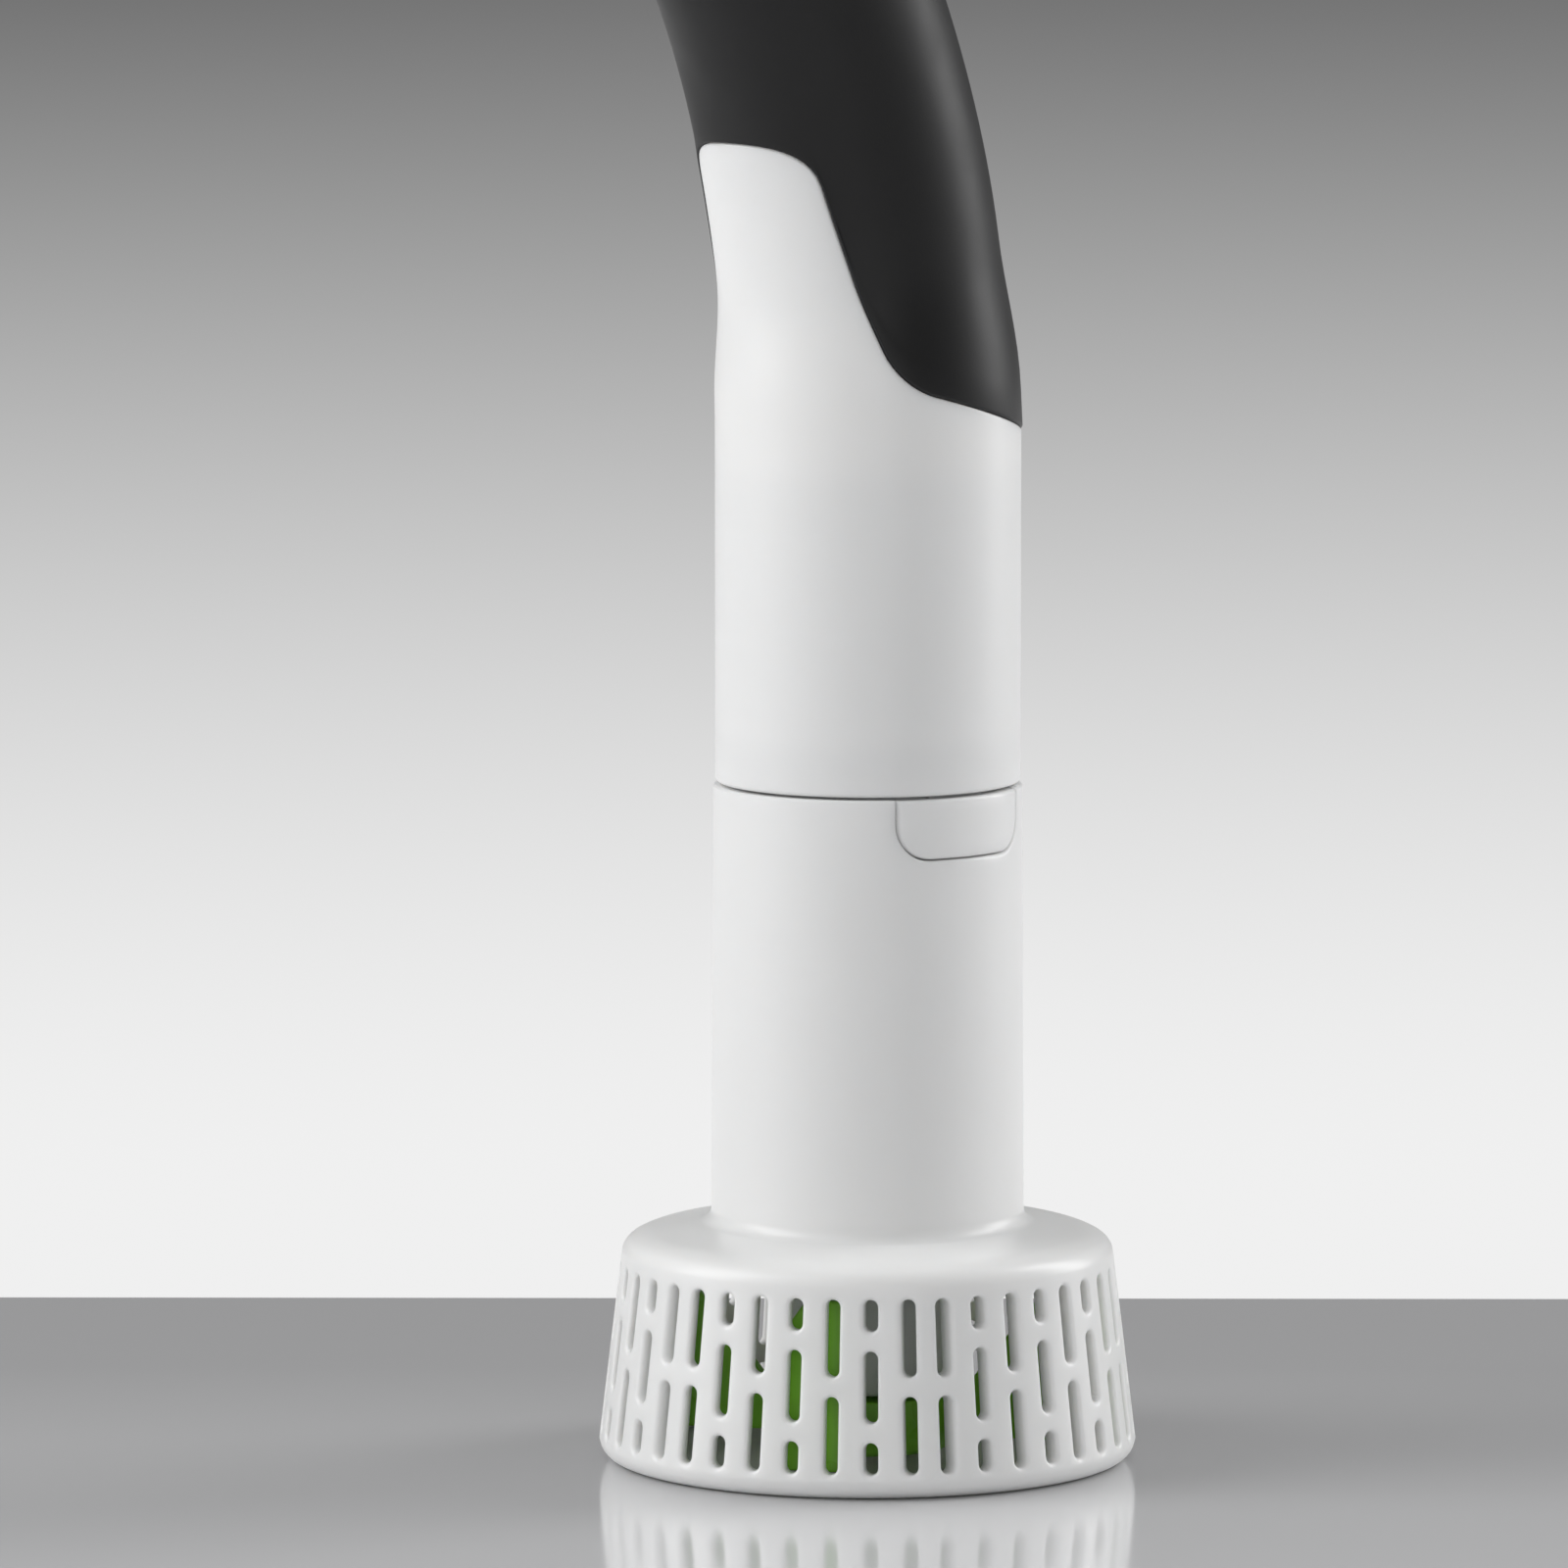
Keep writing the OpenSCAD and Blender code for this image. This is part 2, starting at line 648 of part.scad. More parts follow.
// lean at which the skin under the tongue may end, a whole number of steps past the tongue's tip
housing_end = form_step * ceil((asin(tongue_h / (bend_r - sleeve_r)) + 1) / form_step);
skirt_r = collar_r + slack;
sleeve_in_r = sleeve_r - sleeve_wall;
bulkhead_z = collar_top + 2;
can_low = bulkhead_z + 4;
can_r = 18.5;
can_h = 38;
can_top = can_low + can_h;
bell_h = 5;
fan_z = can_top + 6;
fan_h = 7;
fan_top = fan_z + fan_h;

module motor_housing() color(white) difference() {
    intersection() {
        form(sleeve_low, housing_end);
        across_x(80) housing_side(seam_gap / 2);
    }
    translate([0, 0, sleeve_low - 1]) cylinder(r = skirt_r, h = collar_h + 8);
    // groove that the catches stand in
    translate([0, 0, nose_z - 2.2]) cylinder(r = skirt_r + 1.2, h = 5);
    translate([0, 0, bulkhead_z]) cylinder(r = sleeve_in_r, h = core_low - bulkhead_z);
    translate([0, 0, core_low - 0.5]) cylinder(r = core_r + snug, h = bend_z - core_low + 0.51);
    bend(0, 40) circle(r = core_r + snug);
}

module grip_sleeve() color(charcoal) difference() {
    form(seam_back_z - 4, bend_end);
    across_x(80) housing_side(-seam_gap / 2);
    translate([0, 0, bend_z - 20]) cylinder(r = core_r + snug, h = 20.01);
    bend(0, bend_end + 2) circle(r = core_r + snug);
    trigger_hole(slack);
}

// ---------------------------------------------------------------- handle core

core_low = bend_z - 6;
core_top = bend_end - 0.3;
core_screw_at = [20, 45];
core_boss_y = core_in_r - 4;
core_screw_r = 1.2;

// Half of a ring, open towards the other half of the core
module half_ring(side) difference() {
    circle(r = core_r);
    circle(r = core_in_r);
    translate([-40, side > 0 ? -80 : 0]) square(80);
}

module core_half(side) difference() {
    union() {
        translate([0, 0, core_low]) linear_extrude(bend_z - core_low) mirror([1, -1]) half_ring(side);
        bend(0, core_top) half_ring(side);
        // screw bosses along the handle's back
        for (a = core_screw_at) on_handle(a) translate([0, core_boss_y, 0]) rotate([0, side * 90, 0])
            cylinder(r = 3, h = 11, $fn = 48);
        // shelves that hold the switch and seat the trigger's spring
        on_handle(trigger_at) {
            core_shelf(side, 3.3, -switch_front + 2, 3, -1, 17);
            core_shelf(side, 0.05, spring_seat_y, 1.6, -14, -4);
        }
    }
    trigger_hole(slack);
    for (a = core_screw_at) on_handle(a) translate([0, core_boss_y, 0]) rotate([0, 90, 0])
        cylinder(r = core_screw_r, h = 18, center = true, $fn = 24);
}

// Shelf from x to the core's wall
module core_shelf(side, x, y, thick, low, high) {
    wall_x = sqrt(core_in_r * core_in_r - y * y) + 0.5;
    translate([side > 0 ? x : -wall_x, y, low]) cube([wall_x - x, thick, high - low]);
}

module handle_core_right() color(black) core_half(1);
module handle_core_left() color(black) core_half(-1);

module core_screws() color(steel)
    for (a = core_screw_at) on_handle(a) translate([-8.9, core_boss_y, 0]) rotate([0, 90, 0])
        cylinder(r = core_screw_r - 0.02, h = 17.8, $fn = 24);

// ---------------------------------------------------------------- end of the handle

cap_h = 13;
cap_round = 11;
cap_wall = 3;
vent_w = 1.6;
vent_l = 4;
bush_flange = cord_r + 4.4;

module on_end() on_handle(bend_end) children();

module end_cap() color(charcoal) on_end() difference() {
    rotate_extrude() polygon(rounded([
        [0, 0.1, 0], [grip_r - 0.1, 0.1, 0], [grip_r - 0.1, cap_h, cap_round], [0, cap_h, 0]
    ], 10));
    // the inside is open below the cord inlet
    rotate_extrude() polygon(rounded([
        [0, -1, 0], [core_in_r, -1, 0], [core_in_r, cap_h - cap_wall, cap_round - 2], [0, cap_h - cap_wall, 0]
    ], 8));
    translate([0, 0, -1]) cylinder(r = cord_r + 2.4, h = 30, $fn = 64);
    // air slots round the inlet
    for (a = [15:30:345]) rotate([0, 0, a])
        translate([bush_flange + 2, -vent_w / 2, 0]) cube([vent_l, vent_w, 30]);
}

module cord_inlet_bush() color(black) on_end() difference() {
    union() {
        translate([0, 0, cap_h - 5]) cylinder(r = cord_r + 2.3, h = 8, $fn = 64);
        translate([0, 0, cap_h + 0.05]) cylinder(r1 = bush_flange, r2 = bush_flange - 1, h = 3, $fn = 64);
        translate([0, 0, cap_h - 5]) cylinder(r = bush_flange, h = 1.9, $fn = 64);
    }
    translate([0, 0, -1]) cylinder(r = cord_r, h = 40, $fn = 64);
}

clamp_at = bend_end - 5;
clamp_screw_x = 6.5;

module cord_clamp() color(black) on_handle(clamp_at) difference() {
    translate([-core_in_r + 0.9, -2.2, -4]) cube([2 * core_in_r - 1.8, 7, 8]);
    translate([0, 0, -10]) cylinder(r = cord_r - 0.3, h = 20, $fn = 48);
    for (x = [-clamp_screw_x, clamp_screw_x]) translate([x, 0, 0]) rotate([90, 0, 0])
        cylinder(r = 1.05, h = 40, center = true, $fn = 24);
}

module clamp_screws() color(steel) on_handle(clamp_at)
    for (x = [-clamp_screw_x, clamp_screw_x]) translate([x, -2.3, 0]) rotate([-90, 0, 0]) {
        cylinder(r = 1.03, h = 8, $fn = 24);
        translate([0, 0, -1.2]) cylinder(r = 2, h = 1.2, $fn = 24);
    }

// ---------------------------------------------------------------- trigger and switch

trigger_r = grip_r + trigger_out;
trigger_round = 6;
lip_in_r = core_in_r - 2.2;   // inside of the trigger and of its lips
lip_l = 2.4;                  // how far the lips reach past the trigger

// Rounded outline of the trigger, extruded through the front of the handle
module trigger_prism(grow, longer, from, to) {
    w = trigger_w / 2 + grow;
    l = trigger_l / 2 + grow + longer;
    on_handle(trigger_at) translate([0, -from, 0]) rotate([90, 0, 0]) linear_extrude(to - from)
        polygon(rounded([for (c = [[-w, -l], [w, -l], [w, l], [-w, l]]) [c.x, c.y, trigger_round]], 8));
}

module trigger_hole(grow) trigger_prism(grow, 0, 14, 40);

module trigger_button() color(green) {
    intersection() {
        difference() {
            bend(trigger_at - 12, trigger_at + 12) circle(r = trigger_r);
            bend(trigger_at - 13, trigger_at + 13) circle(r = lip_in_r);
        }
        trigger_prism(0, 0, 8, 40);
    }
    // lips behind the core's wall that keep the trigger in its opening
    intersection() {
        difference() {
            bend(trigger_at - 12, trigger_at + 12) circle(r = core_in_r - slack);
            bend(trigger_at - 13, trigger_at + 13) circle(r = lip_in_r);
        }
        trigger_prism(0, lip_l, 8, 40);
    }
    // stem that meets the switch
    on_handle(trigger_at) translate([-2, -lip_in_r - 1, 6]) cube([4, lip_in_r + 1 - switch_front - 3.5, 4]);
}

// The switch's front face, and the face that the spring stands on, in front of the centre line
switch_front = 12;
spring_seat_y = -9.5;

module micro_switch() color(black) on_handle(trigger_at) {
    translate([-3.2, -switch_front, -1]) cube([6.4, 10, 18]);
    translate([-1, -switch_front - 0.8, 7]) cube([2, 0.9, 2]);
}

module trigger_spring() color(steel) on_handle(trigger_at)
    translate([0, spring_seat_y - 0.05, -9]) rotate([90, 0, 0])
        coil(3, 0.35, core_in_r - 2.4 + spring_seat_y, 6);

board_h = 40;
board_gap = 7.7;
board_at = asin((fan_top + board_gap + board_h / 2 - bend_z) / bend_r);
module control_board() color("#2f6b3a") on_handle(board_at) {
    translate([-core_in_r + 0.8, 2, -board_h / 2]) cube([2 * core_in_r - 1.6, 1.6, board_h]);
    translate([-9, 3.5, -8]) cube([8, 5, 12]);
}

module capacitor() color("#c9b23a") on_handle(board_at)
    translate([2, -5.5, -6]) cube([10, 7.45, 15]);

// ---------------------------------------------------------------- motor

mount_screw_at = 13;
can_wall = 1.2;
bearing_r = 5;
magnet_arc = 130;
magnet_in_r = 13.4;
armature_r = 12.8;
armature_h = 22;
winding_r = 8.5;
commutator_r = 4.5;
segments = 12;
fan_r = 16;

module motor_mount() color(grey) difference() {
    union() {
        translate([0, 0, bulkhead_z + 0.05]) cylinder(r = sleeve_in_r - snug, h = 3.9);
        // cup that the motor stands in
        translate([0, 0, can_low - 0.1]) ring(can_r + 2.2, can_r + snug, 12);
    }
    translate([0, 0, bulkhead_z - 1]) cylinder(r = 8, h = 10);
    for (a = [45:90:315]) rotate([0, 0, a]) translate([mount_screw_at, 0, bulkhead_z - 1])
        cylinder(r = 1.6, h = 10, $fn = 32);
}

module mount_screws() color(steel)
    for (a = [45:90:315]) rotate([0, 0, a]) translate([mount_screw_at, 0, bulkhead_z - 1.25]) {
        cylinder(r = 2.6, h = 1.25, $fn = 32);
        translate([0, 0, 1.2]) cylinder(r = 1.45, h = 5.5, $fn = 32);
    }

module motor_can() color(steel) difference() {
    translate([0, 0, can_low]) union() {
        cylinder(r = can_r, h = can_h);
        translate([0, 0, -3]) cylinder(r = 7.4, h = 4);
    }
    translate([0, 0, can_low + 1.5]) cylinder(r = can_r - can_wall, h = can_h);
    translate([0, 0, can_low - 4]) cylinder(r = bearing_r, h = 10);
    for (a = [45:90:315]) rotate([0, 0, a]) translate([mount_screw_at, 0, can_low - 1])
        cylinder(r = 1.5, h = 10, $fn = 32);
    // windows that let air through between the magnets
    for (side = [-1, 1]) translate([-4, side * can_r - 4, can_low + 14]) cube([8, 8, 16]);
}

module field_magnets() color(black)
    for (a = [0, 180]) rotate([0, 0, a - magnet_arc / 2]) translate([0, 0, can_low + 5])
        rotate_extrude(angle = magnet_arc)
            translate([magnet_in_r, 0]) square([can_r - can_wall - snug - magnet_in_r, armature_h + 4]);

module motor_endbell() color(black) difference() {
    translate([0, 0, can_top + 0.05]) union() {
        cylinder(r = can_r, h = bell_h - 2);
        translate([0, 0, -3.5]) cylinder(r = can_r - can_wall - snug, h = 4);
        cylinder(r = 8, h = bell_h);
    }
    translate([0, 0, can_top - 5]) cylinder(r = 11, h = 5 + 1);
    translate([0, 0, can_top - 5]) cylinder(r = bearing_r, h = 20);
}

module front_bearing() color(steel) translate([0, 0, can_low - 3]) ring(bearing_r, motor_shaft_r + run, 4.5);
module rear_bearing() color(steel) translate([0, 0, can_top + 1.1]) ring(bearing_r, motor_shaft_r + run, 3.8);

brush_z = can_top - 5.2;
module brush_holders() color(brass)
    for (s = [1, -1]) translate([s > 0 ? 6.5 : -10.6, -2.2, brush_z - 2.2]) difference() {
        cube([4.1, 4.4, 4.4 + 2]);
        translate([-1, 0.6, 0.6]) cube([7, 3.2, 3.2]);
    }

module carbon_brushes() color(black)
    for (s = [1, -1]) translate([s > 0 ? 4.6 : -10.6, -1.55, brush_z - 1.55]) cube([6, 3.1, 3.1]);

module motor_shaft() color(steel)
    translate([0, 0, joint_z + 1]) cylinder(r = motor_shaft_r, h = can_top + 16 - joint_z);

module armature() color("#8a5a34") difference() {
    translate([0, 0, can_low + 6]) union() {
        for (a = [0:60:300]) rotate([0, 0, a]) {
            rotate([0, 0, -22]) rotate_extrude(angle = 44)
                translate([armature_r - 2.2, 0]) square([2.2, armature_h]);
            translate([0, -2, 0]) cube([armature_r - 1.8, 4, armature_h]);
        }
        translate([0, 0, -2]) cylinder(r = winding_r, h = armature_h + 3);
    }
    translate([0, 0, can_low]) cylinder(r = motor_shaft_r, h = 60);
}

module commutator() color(brass) translate([0, 0, can_top - 8.8]) difference() {
    ring(commutator_r, motor_shaft_r, 7);
    // slits between its segments
    for (i = [0:segments - 1]) rotate([0, 0, i * 360 / segments])
        translate([commutator_r - 0.7, -0.15, 0.8]) cube([2, 0.3, 8]);
}

module cooling_fan() color(white) difference() {
    translate([0, 0, fan_z]) union() {
        cylinder(r = 5, h = fan_h);
        cylinder(r = fan_r, h = 1.2);
        for (a = [0:40:320]) rotate([0, 0, a]) translate([4.5, -0.6, 0]) cube([fan_r - 4.5, 1.2, 6]);
    }
    translate([0, 0, fan_z - 1]) cylinder(r = motor_shaft_r, h = 20);
}

module drive_coupling() color(black) difference() {
    translate([0, 0, coupling_low]) cylinder(r = 7, h = can_low - 3.6 - coupling_low);
    translate([0, 0, coupling_low - 1]) cylinder(r = input_r + 0.05, h = joint_z - coupling_low + 1, $fn = 6);
    translate([0, 0, joint_z]) cylinder(r = motor_shaft_r, h = 30);
}

masher_foot();
ring_gear();
gearbox_base();
gearbox_cover();
cover_screws();
output_bush();
shaft_bush();
shaft_seal();
input_bush();
latch_pins();
latch_spring_right();
latch_spring_left();
release_latch_right();
release_latch_left();
input_shaft();
sun_gear();
planet_carrier();
planet_pins();
output_shaft();
masher_rotor();
rotor_screw();
planet_gear_1();
planet_gear_2();
planet_gear_3();
motor_housing();
grip_sleeve();
handle_core_left();
handle_core_right();
core_screws();
end_cap();
cord_inlet_bush();
cord_clamp();
clamp_screws();
control_board();
capacitor();
micro_switch();
motor_can();
field_magnets();
motor_endbell();
brush_holders();
carbon_brushes();
motor_mount();
mount_screws();
front_bearing();
rear_bearing();
motor_shaft();
armature();
commutator();
cooling_fan();
drive_coupling();
trigger_button();
trigger_spring();
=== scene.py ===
"""Looks of an electric potato masher: slotted foot, curved soft grip, green rotor. Metres, +Z up."""

import json
import math

import bmesh
import bpy
import numpy as np
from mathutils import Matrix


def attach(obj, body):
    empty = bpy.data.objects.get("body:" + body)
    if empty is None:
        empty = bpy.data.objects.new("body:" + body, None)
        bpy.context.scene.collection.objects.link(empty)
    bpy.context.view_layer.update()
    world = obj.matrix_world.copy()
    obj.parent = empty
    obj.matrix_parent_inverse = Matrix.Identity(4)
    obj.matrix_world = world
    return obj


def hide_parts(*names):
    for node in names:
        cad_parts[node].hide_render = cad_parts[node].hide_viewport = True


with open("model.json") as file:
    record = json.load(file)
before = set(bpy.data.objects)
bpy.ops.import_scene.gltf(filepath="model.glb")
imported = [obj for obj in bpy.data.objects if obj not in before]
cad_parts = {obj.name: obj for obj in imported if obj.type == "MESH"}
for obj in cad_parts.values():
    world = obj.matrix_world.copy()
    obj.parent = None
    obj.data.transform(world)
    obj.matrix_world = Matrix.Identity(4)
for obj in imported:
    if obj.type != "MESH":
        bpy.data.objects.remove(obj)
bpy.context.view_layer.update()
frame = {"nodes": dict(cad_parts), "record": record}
MM = 0.001
FRONT = -math.pi / 2

# ---------------------------------------- sizes of the form, millimetres

BASE_R, CAGE_H, CAGE_TAPER, SHOULDER_SLOPE = 46.3, 43.6, math.radians(6.9), math.radians(19)
CAGE_WALL, SHOULDER_ROUND, RIM_ROUND, RIM_IN_H = 3.0, 6.0, 3.5, 3.4
DOME_Z, CROWN_SLOPE, CROWN_R, FALL_SLOPE = 41.0, math.radians(9.6), 38.4, math.radians(27)
DOME_ROUND, CROWN_ROUND, DOME_FOOT_ROUND = 3.5, 12.0, 2.6
SLOT_COLUMNS, SLOT_W, SLOT_LOW, SLOT_GAP, SHORT_SLOT, SLOT_MARGIN = 42, 2.5, 4.3, 3.2, 5.4, 4.9
SLEEVE_R, SLEEVE_IN_R, SKIRT_R = 26.0, 23.7, 23.0
TUBE_R, TUBE_FLARE, TUBE_WALL = 26.3, 0.4, 2.6
JOINT_Z, JOINT_GAP = 116.0, 0.45
COLLAR_R, COLLAR_WALL, COLLAR_TOP, STEP_R, STEP_LOW, STEP_TOP = 22.7, 1.8, 126.0, 23.5, 105.0, 115.0
ARM_HALF, LATCH_PIVOT_R, LATCH_PIVOT_Z = 6.0, 20.7, 101.0
WAIST_IN, GRIP_TAPER = 1.9, 1.15
WAIST_LOW, WAIST_HIGH, TAPER_END = 2.0, 9.3, 28.0
BEND_Z, BEND_R, BEND_END = 176.0, 186.0, 52.0
TONGUE_Z, SEAM_BACK_Z, SEAM_RISE = 226.5, 174.8, 0.275
SEAM_CORNER_IN, TONGUE_LEAN, SEAM_GAP = 12.9, 13.4, 0.15
FOOT_ROUND, TIP_ROUND = 12.0, 10.0
GRIP_R = SLEEVE_R - WAIST_IN - GRIP_TAPER
CORE_HOLE_R, CORE_IN_R = 21.25, 19.15
TRIGGER_AT, TRIGGER_L, TRIGGER_W, TRIGGER_OUT, TRIGGER_ROUND = 35.0, 36.0, 15.0, 3.0, 6.0
HUB_R, HUB_LOW, HUB_TOP, ROTOR_LOW, ROTOR_GAP, ROTOR_TURN = 15.0, 2.0, 11.5, 4.0, 2.0, 35.3
SEAT_R, SHAFT_R, SCREW_R = 5.3, 5.1, 2.2
PADDLE_ARC, PADDLE_T, WEB_T, CUT_H, CUT_SLOPE = 17.0, 2.4, 2.6, 8.0, 6.5 / 9
CAP_H, CAP_ROUND, CAP_WALL, CORD_R = 13.0, 11.0, 3.0, 3.6
SLACK = 0.3


# ---------------------------------------- mesh tools

def unit(v):
    """Each vector over its own length."""
    return v / np.maximum(np.linalg.norm(v, axis=-1, keepdims=True), 1e-12)


def ease(t):
    """The cubic c squared times 3 minus 2c, of t held between 0 and 1."""
    c = np.clip(t, 0, 1)
    return c * c * (3 - 2 * c)


def quads(rows, columns, start=0, close_rows=False, close_columns=False):
    """Corner numbers of the quads of a rows by columns grid whose first point has number start."""
    i, j = np.meshgrid(
        np.arange(rows if close_rows else rows - 1),
        np.arange(columns if close_columns else columns - 1), indexing="ij")
    i2, j2 = (i + 1) % rows, (j + 1) % columns
    corners = joined(i * columns + j, i * columns + j2, i2 * columns + j2, i2 * columns + j)
    return corners.reshape(-1, 4) + start


def new_object(name, data):
    """An object in the scene that shows the data."""
    made = bpy.data.objects.new(name, data)
    bpy.context.scene.collection.objects.link(made)
    return made


class Shell:
    """Gathers grids of points, in millimetres, and joins them into one closed mesh."""

    def __init__(self):
        self.points, self.faces, self.count = [], [], 0

    def grid(self, points, close_rows=False, close_columns=True, keep=None):
        """Adds a grid given as rows by columns by 3, its rows being closed loops; keep masks its quads."""
        rows, columns = points.shape[:2]
        faces = quads(rows, columns, self.count, close_rows, close_columns)
        if keep is not None:
            faces = faces[keep.reshape(-1)]
        self.faces += faces.tolist()
        self.points.append(points.reshape(-1, 3))
        self.count += rows * columns
        return self

    def cap(self, loop):
        """Closes a flat loop of points with one polygon."""
        self.faces.append(list(range(self.count, self.count + len(loop))))
        self.points.append(loop)
        self.count += len(loop)
        return self

    def prism(self, loops):
        """Closed loops one after another, with the first and the last capped."""
        return self.grid(loops).cap(loops[0]).cap(loops[-1])

    def slab(self, upper, lower):
        """The solid between two grids of the same shape: both faces and the four rims."""
        sheets = [upper, lower]
        for edge in (0, -1):
            sheets += [np.stack([upper[edge], lower[edge]]), np.stack([upper[:, edge], lower[:, edge]])]
        for sheet in sheets:
            self.grid(sheet, close_columns=False)
        return self

    def build(self, name, weld=0.004, bevel=0.0):
        """Makes the object: welds points closer than weld, turns faces outwards, bevels sharp edges."""
        mesh = bpy.data.meshes.new(name)
        mesh.from_pydata(np.concatenate(self.points) * MM, [], self.faces)
        work = bmesh.new()
        work.from_mesh(mesh)
        bmesh.ops.remove_doubles(work, verts=work.verts, dist=weld * MM)
        flat = [f for f in work.faces if f.calc_area() < 1e-12]
        bmesh.ops.delete(work, geom=flat, context="FACES_ONLY")
        bmesh.ops.recalc_face_normals(work, faces=work.faces)
        work.to_mesh(mesh)
        work.free()
        mesh.polygons.foreach_set("use_smooth", np.ones(len(mesh.polygons), bool))
        mesh.set_sharp_from_angle(angle=math.radians(42))
        piece = new_object(name, mesh)
        if bevel:
            edge = piece.modifiers.new("rounded edges", "BEVEL")
            edge.width, edge.segments = bevel * MM, 3
            edge.limit_method, edge.angle_limit = "ANGLE", math.radians(38)
        return piece


def rounded(corners, steps=6):
    """Closed outline through (x, y, radius) corners, each replaced by the arc that touches both its sides."""
    out = []
    p = np.array([c[:2] for c in corners], float)
    for i, (*_, radius) in enumerate(corners):
        if radius == 0:
            out.append(p[i][None])
            continue
        u, v = unit(p[i - 1] - p[i]), unit(p[(i + 1) % len(p)] - p[i])
        half = math.acos(np.clip(u @ v, -1, 1)) / 2
        centre = p[i] + unit(u + v) * radius / math.sin(half)
        first = p[i] + u * radius / math.tan(half) - centre
        last = p[i] + v * radius / math.tan(half) - centre
        start = math.atan2(first[1], first[0])
        sweep = (math.atan2(last[1], last[0]) - start + 3 * math.pi) % (2 * math.pi) - math.pi
        angle = start + sweep * np.linspace(0, 1, steps + 1)
        out.append(centre + radius * joined(np.cos(angle), np.sin(angle)))
    return np.concatenate(out)


def joined(*parts):
    """Points from their coordinates, each of them an array or one number for all."""
    return np.stack(np.broadcast_arrays(*parts), -1)


def polar(r, angle, z):
    """Points at a radius and an angle round the drive axis, and a height."""
    return joined(r * np.cos(angle), r * np.sin(angle), z)


def swung(x, y, z, turn):
    """Points turned by an angle round the drive axis."""
    c, s = math.cos(turn), math.sin(turn)
    return joined(x * c - y * s, x * s + y * c, z)


def turned(profile, angles):
    """Surface of revolution: each (r, z) of the profile is carried round to every angle."""
    return polar(profile[:, :1], angles, profile[:, 1:])


def ring(*runs):
    """One loop from runs of points, each ending where the next one starts."""
    return np.concatenate([run[:-1] for run in runs])


def quarter(count):
    """Angles of a quarter circle, from 0 to half pi."""
    return np.linspace(0, math.pi / 2, count)


def edge_roll(radius, steps):
    """Quarter circle over a rolled edge, as pairs: how far it is set back, and how far it is sunk."""
    return [(radius * (1 - math.sin(a)), radius * (1 - math.cos(a))) for a in quarter(steps)]


def around(count):
    """Angles of a full turn, from the front."""
    return FRONT + np.arange(count) * 2 * math.pi / count


def frame_loop(width, length, corner, across, along, part, grow=0.0):
    """Rounded rectangle as a loop of (u, v), in step with the border of a block of along by across cells.

    Each corner takes part cells from both sides that meet there. The loop starts at the block's lower left
    corner and runs up the left side, over, down and back.
    """
    w, h, r = width / 2 + grow, length / 2 + grow, corner + grow
    arc = np.linspace(0, math.pi / 2, 2 * part + 1)[:-1]
    rise = np.linspace(-(h - r), h - r, along - 2 * part + 1)[:-1]
    over = np.linspace(-(w - r), w - r, across - 2 * part + 1)[:-1]
    side, top = joined(-w, rise), joined(over, h)
    turn = joined(-(w - r) - r * np.cos(arc), h - r + r * np.sin(arc))
    turn_down = joined(w - r + r * np.sin(arc), h - r + r * np.cos(arc))
    half = np.concatenate([side, turn, top, turn_down])
    return np.roll(np.concatenate([half, -half]), part, axis=0)


def block_border(u, v):
    """Border of a block of cells as a loop of (u, v), given its columns u and its rows v."""
    return ring(joined(u[0], v), joined(u, v[-1]), joined(u[-1], v[::-1]), joined(u[::-1], v[0]))


# ---------------------------------------- the handle's form

def form_r(lean):
    """Radius at a lean in degrees: the sleeve eases in at the waist, then tapers along the grip."""
    waist = WAIST_IN * ease((lean - WAIST_LOW) / (WAIST_HIGH - WAIST_LOW))
    return SLEEVE_R - waist - GRIP_TAPER * ease((lean - WAIST_HIGH) / (TAPER_END - WAIST_HIGH))


def lean_at(along):
    """Lean of the centre line, in degrees, at a length above the start of the bend."""
    return np.degrees(np.maximum(along, 0) / BEND_R)


def bent(angle, along, r):
    """A circle of radius r about the centre line, carried up the axis and then round the bend.

    along is the length on the centre line above BEND_Z, negative on the straight part.
    """
    lean = np.maximum(along, 0) / BEND_R
    out = BEND_R + r * np.sin(angle)
    return joined(r * np.cos(angle), out * np.cos(lean) - BEND_R,
                  out * np.sin(lean) + BEND_Z + np.minimum(along, 0))


def form_point(angle, along, proud=0.0):
    """A point of the handle's skin, raised by proud."""
    return bent(angle, along, form_r(lean_at(along)) + proud)


def form_normal(angle, along):
    """Unit normal of the form, from the cross product of its two small differences."""
    step = 1e-3
    round_way = form_point(angle + step, along) - form_point(angle - step, along)
    up_way = form_point(angle, along + step) - form_point(angle, along - step)
    return unit(np.cross(round_way, up_way))


def on_handle(points, lean):
    """Carries points of a frame on the centre line at a lean in degrees into the object's own frame."""
    c, s = math.cos(math.radians(lean)), math.sin(math.radians(lean))
    x, y, z = points[..., 0], points[..., 1] + BEND_R, points[..., 2]
    return joined(x, y * c - z * s - BEND_R, y * s + z * c + BEND_Z)


def seam_outline():
    """The seam seen from the side, as (y, z): a gentle rise to the front, then up the tongue's edge."""
    corner_y = SEAM_CORNER_IN - SLEEVE_R
    far = 3 * SLEEVE_R
    corners = [
        (-far, JOINT_Z, 0), (far, JOINT_Z, 0),
        (far, SEAM_BACK_Z - (far - SLEEVE_R) * SEAM_RISE, 0),
        (corner_y, SEAM_BACK_Z + (SLEEVE_R - corner_y) * SEAM_RISE, FOOT_ROUND),
        (corner_y - TONGUE_LEAN, TONGUE_Z, TIP_ROUND), (-far, TONGUE_Z, 0)]
    return rounded(corners, 40)[2:]


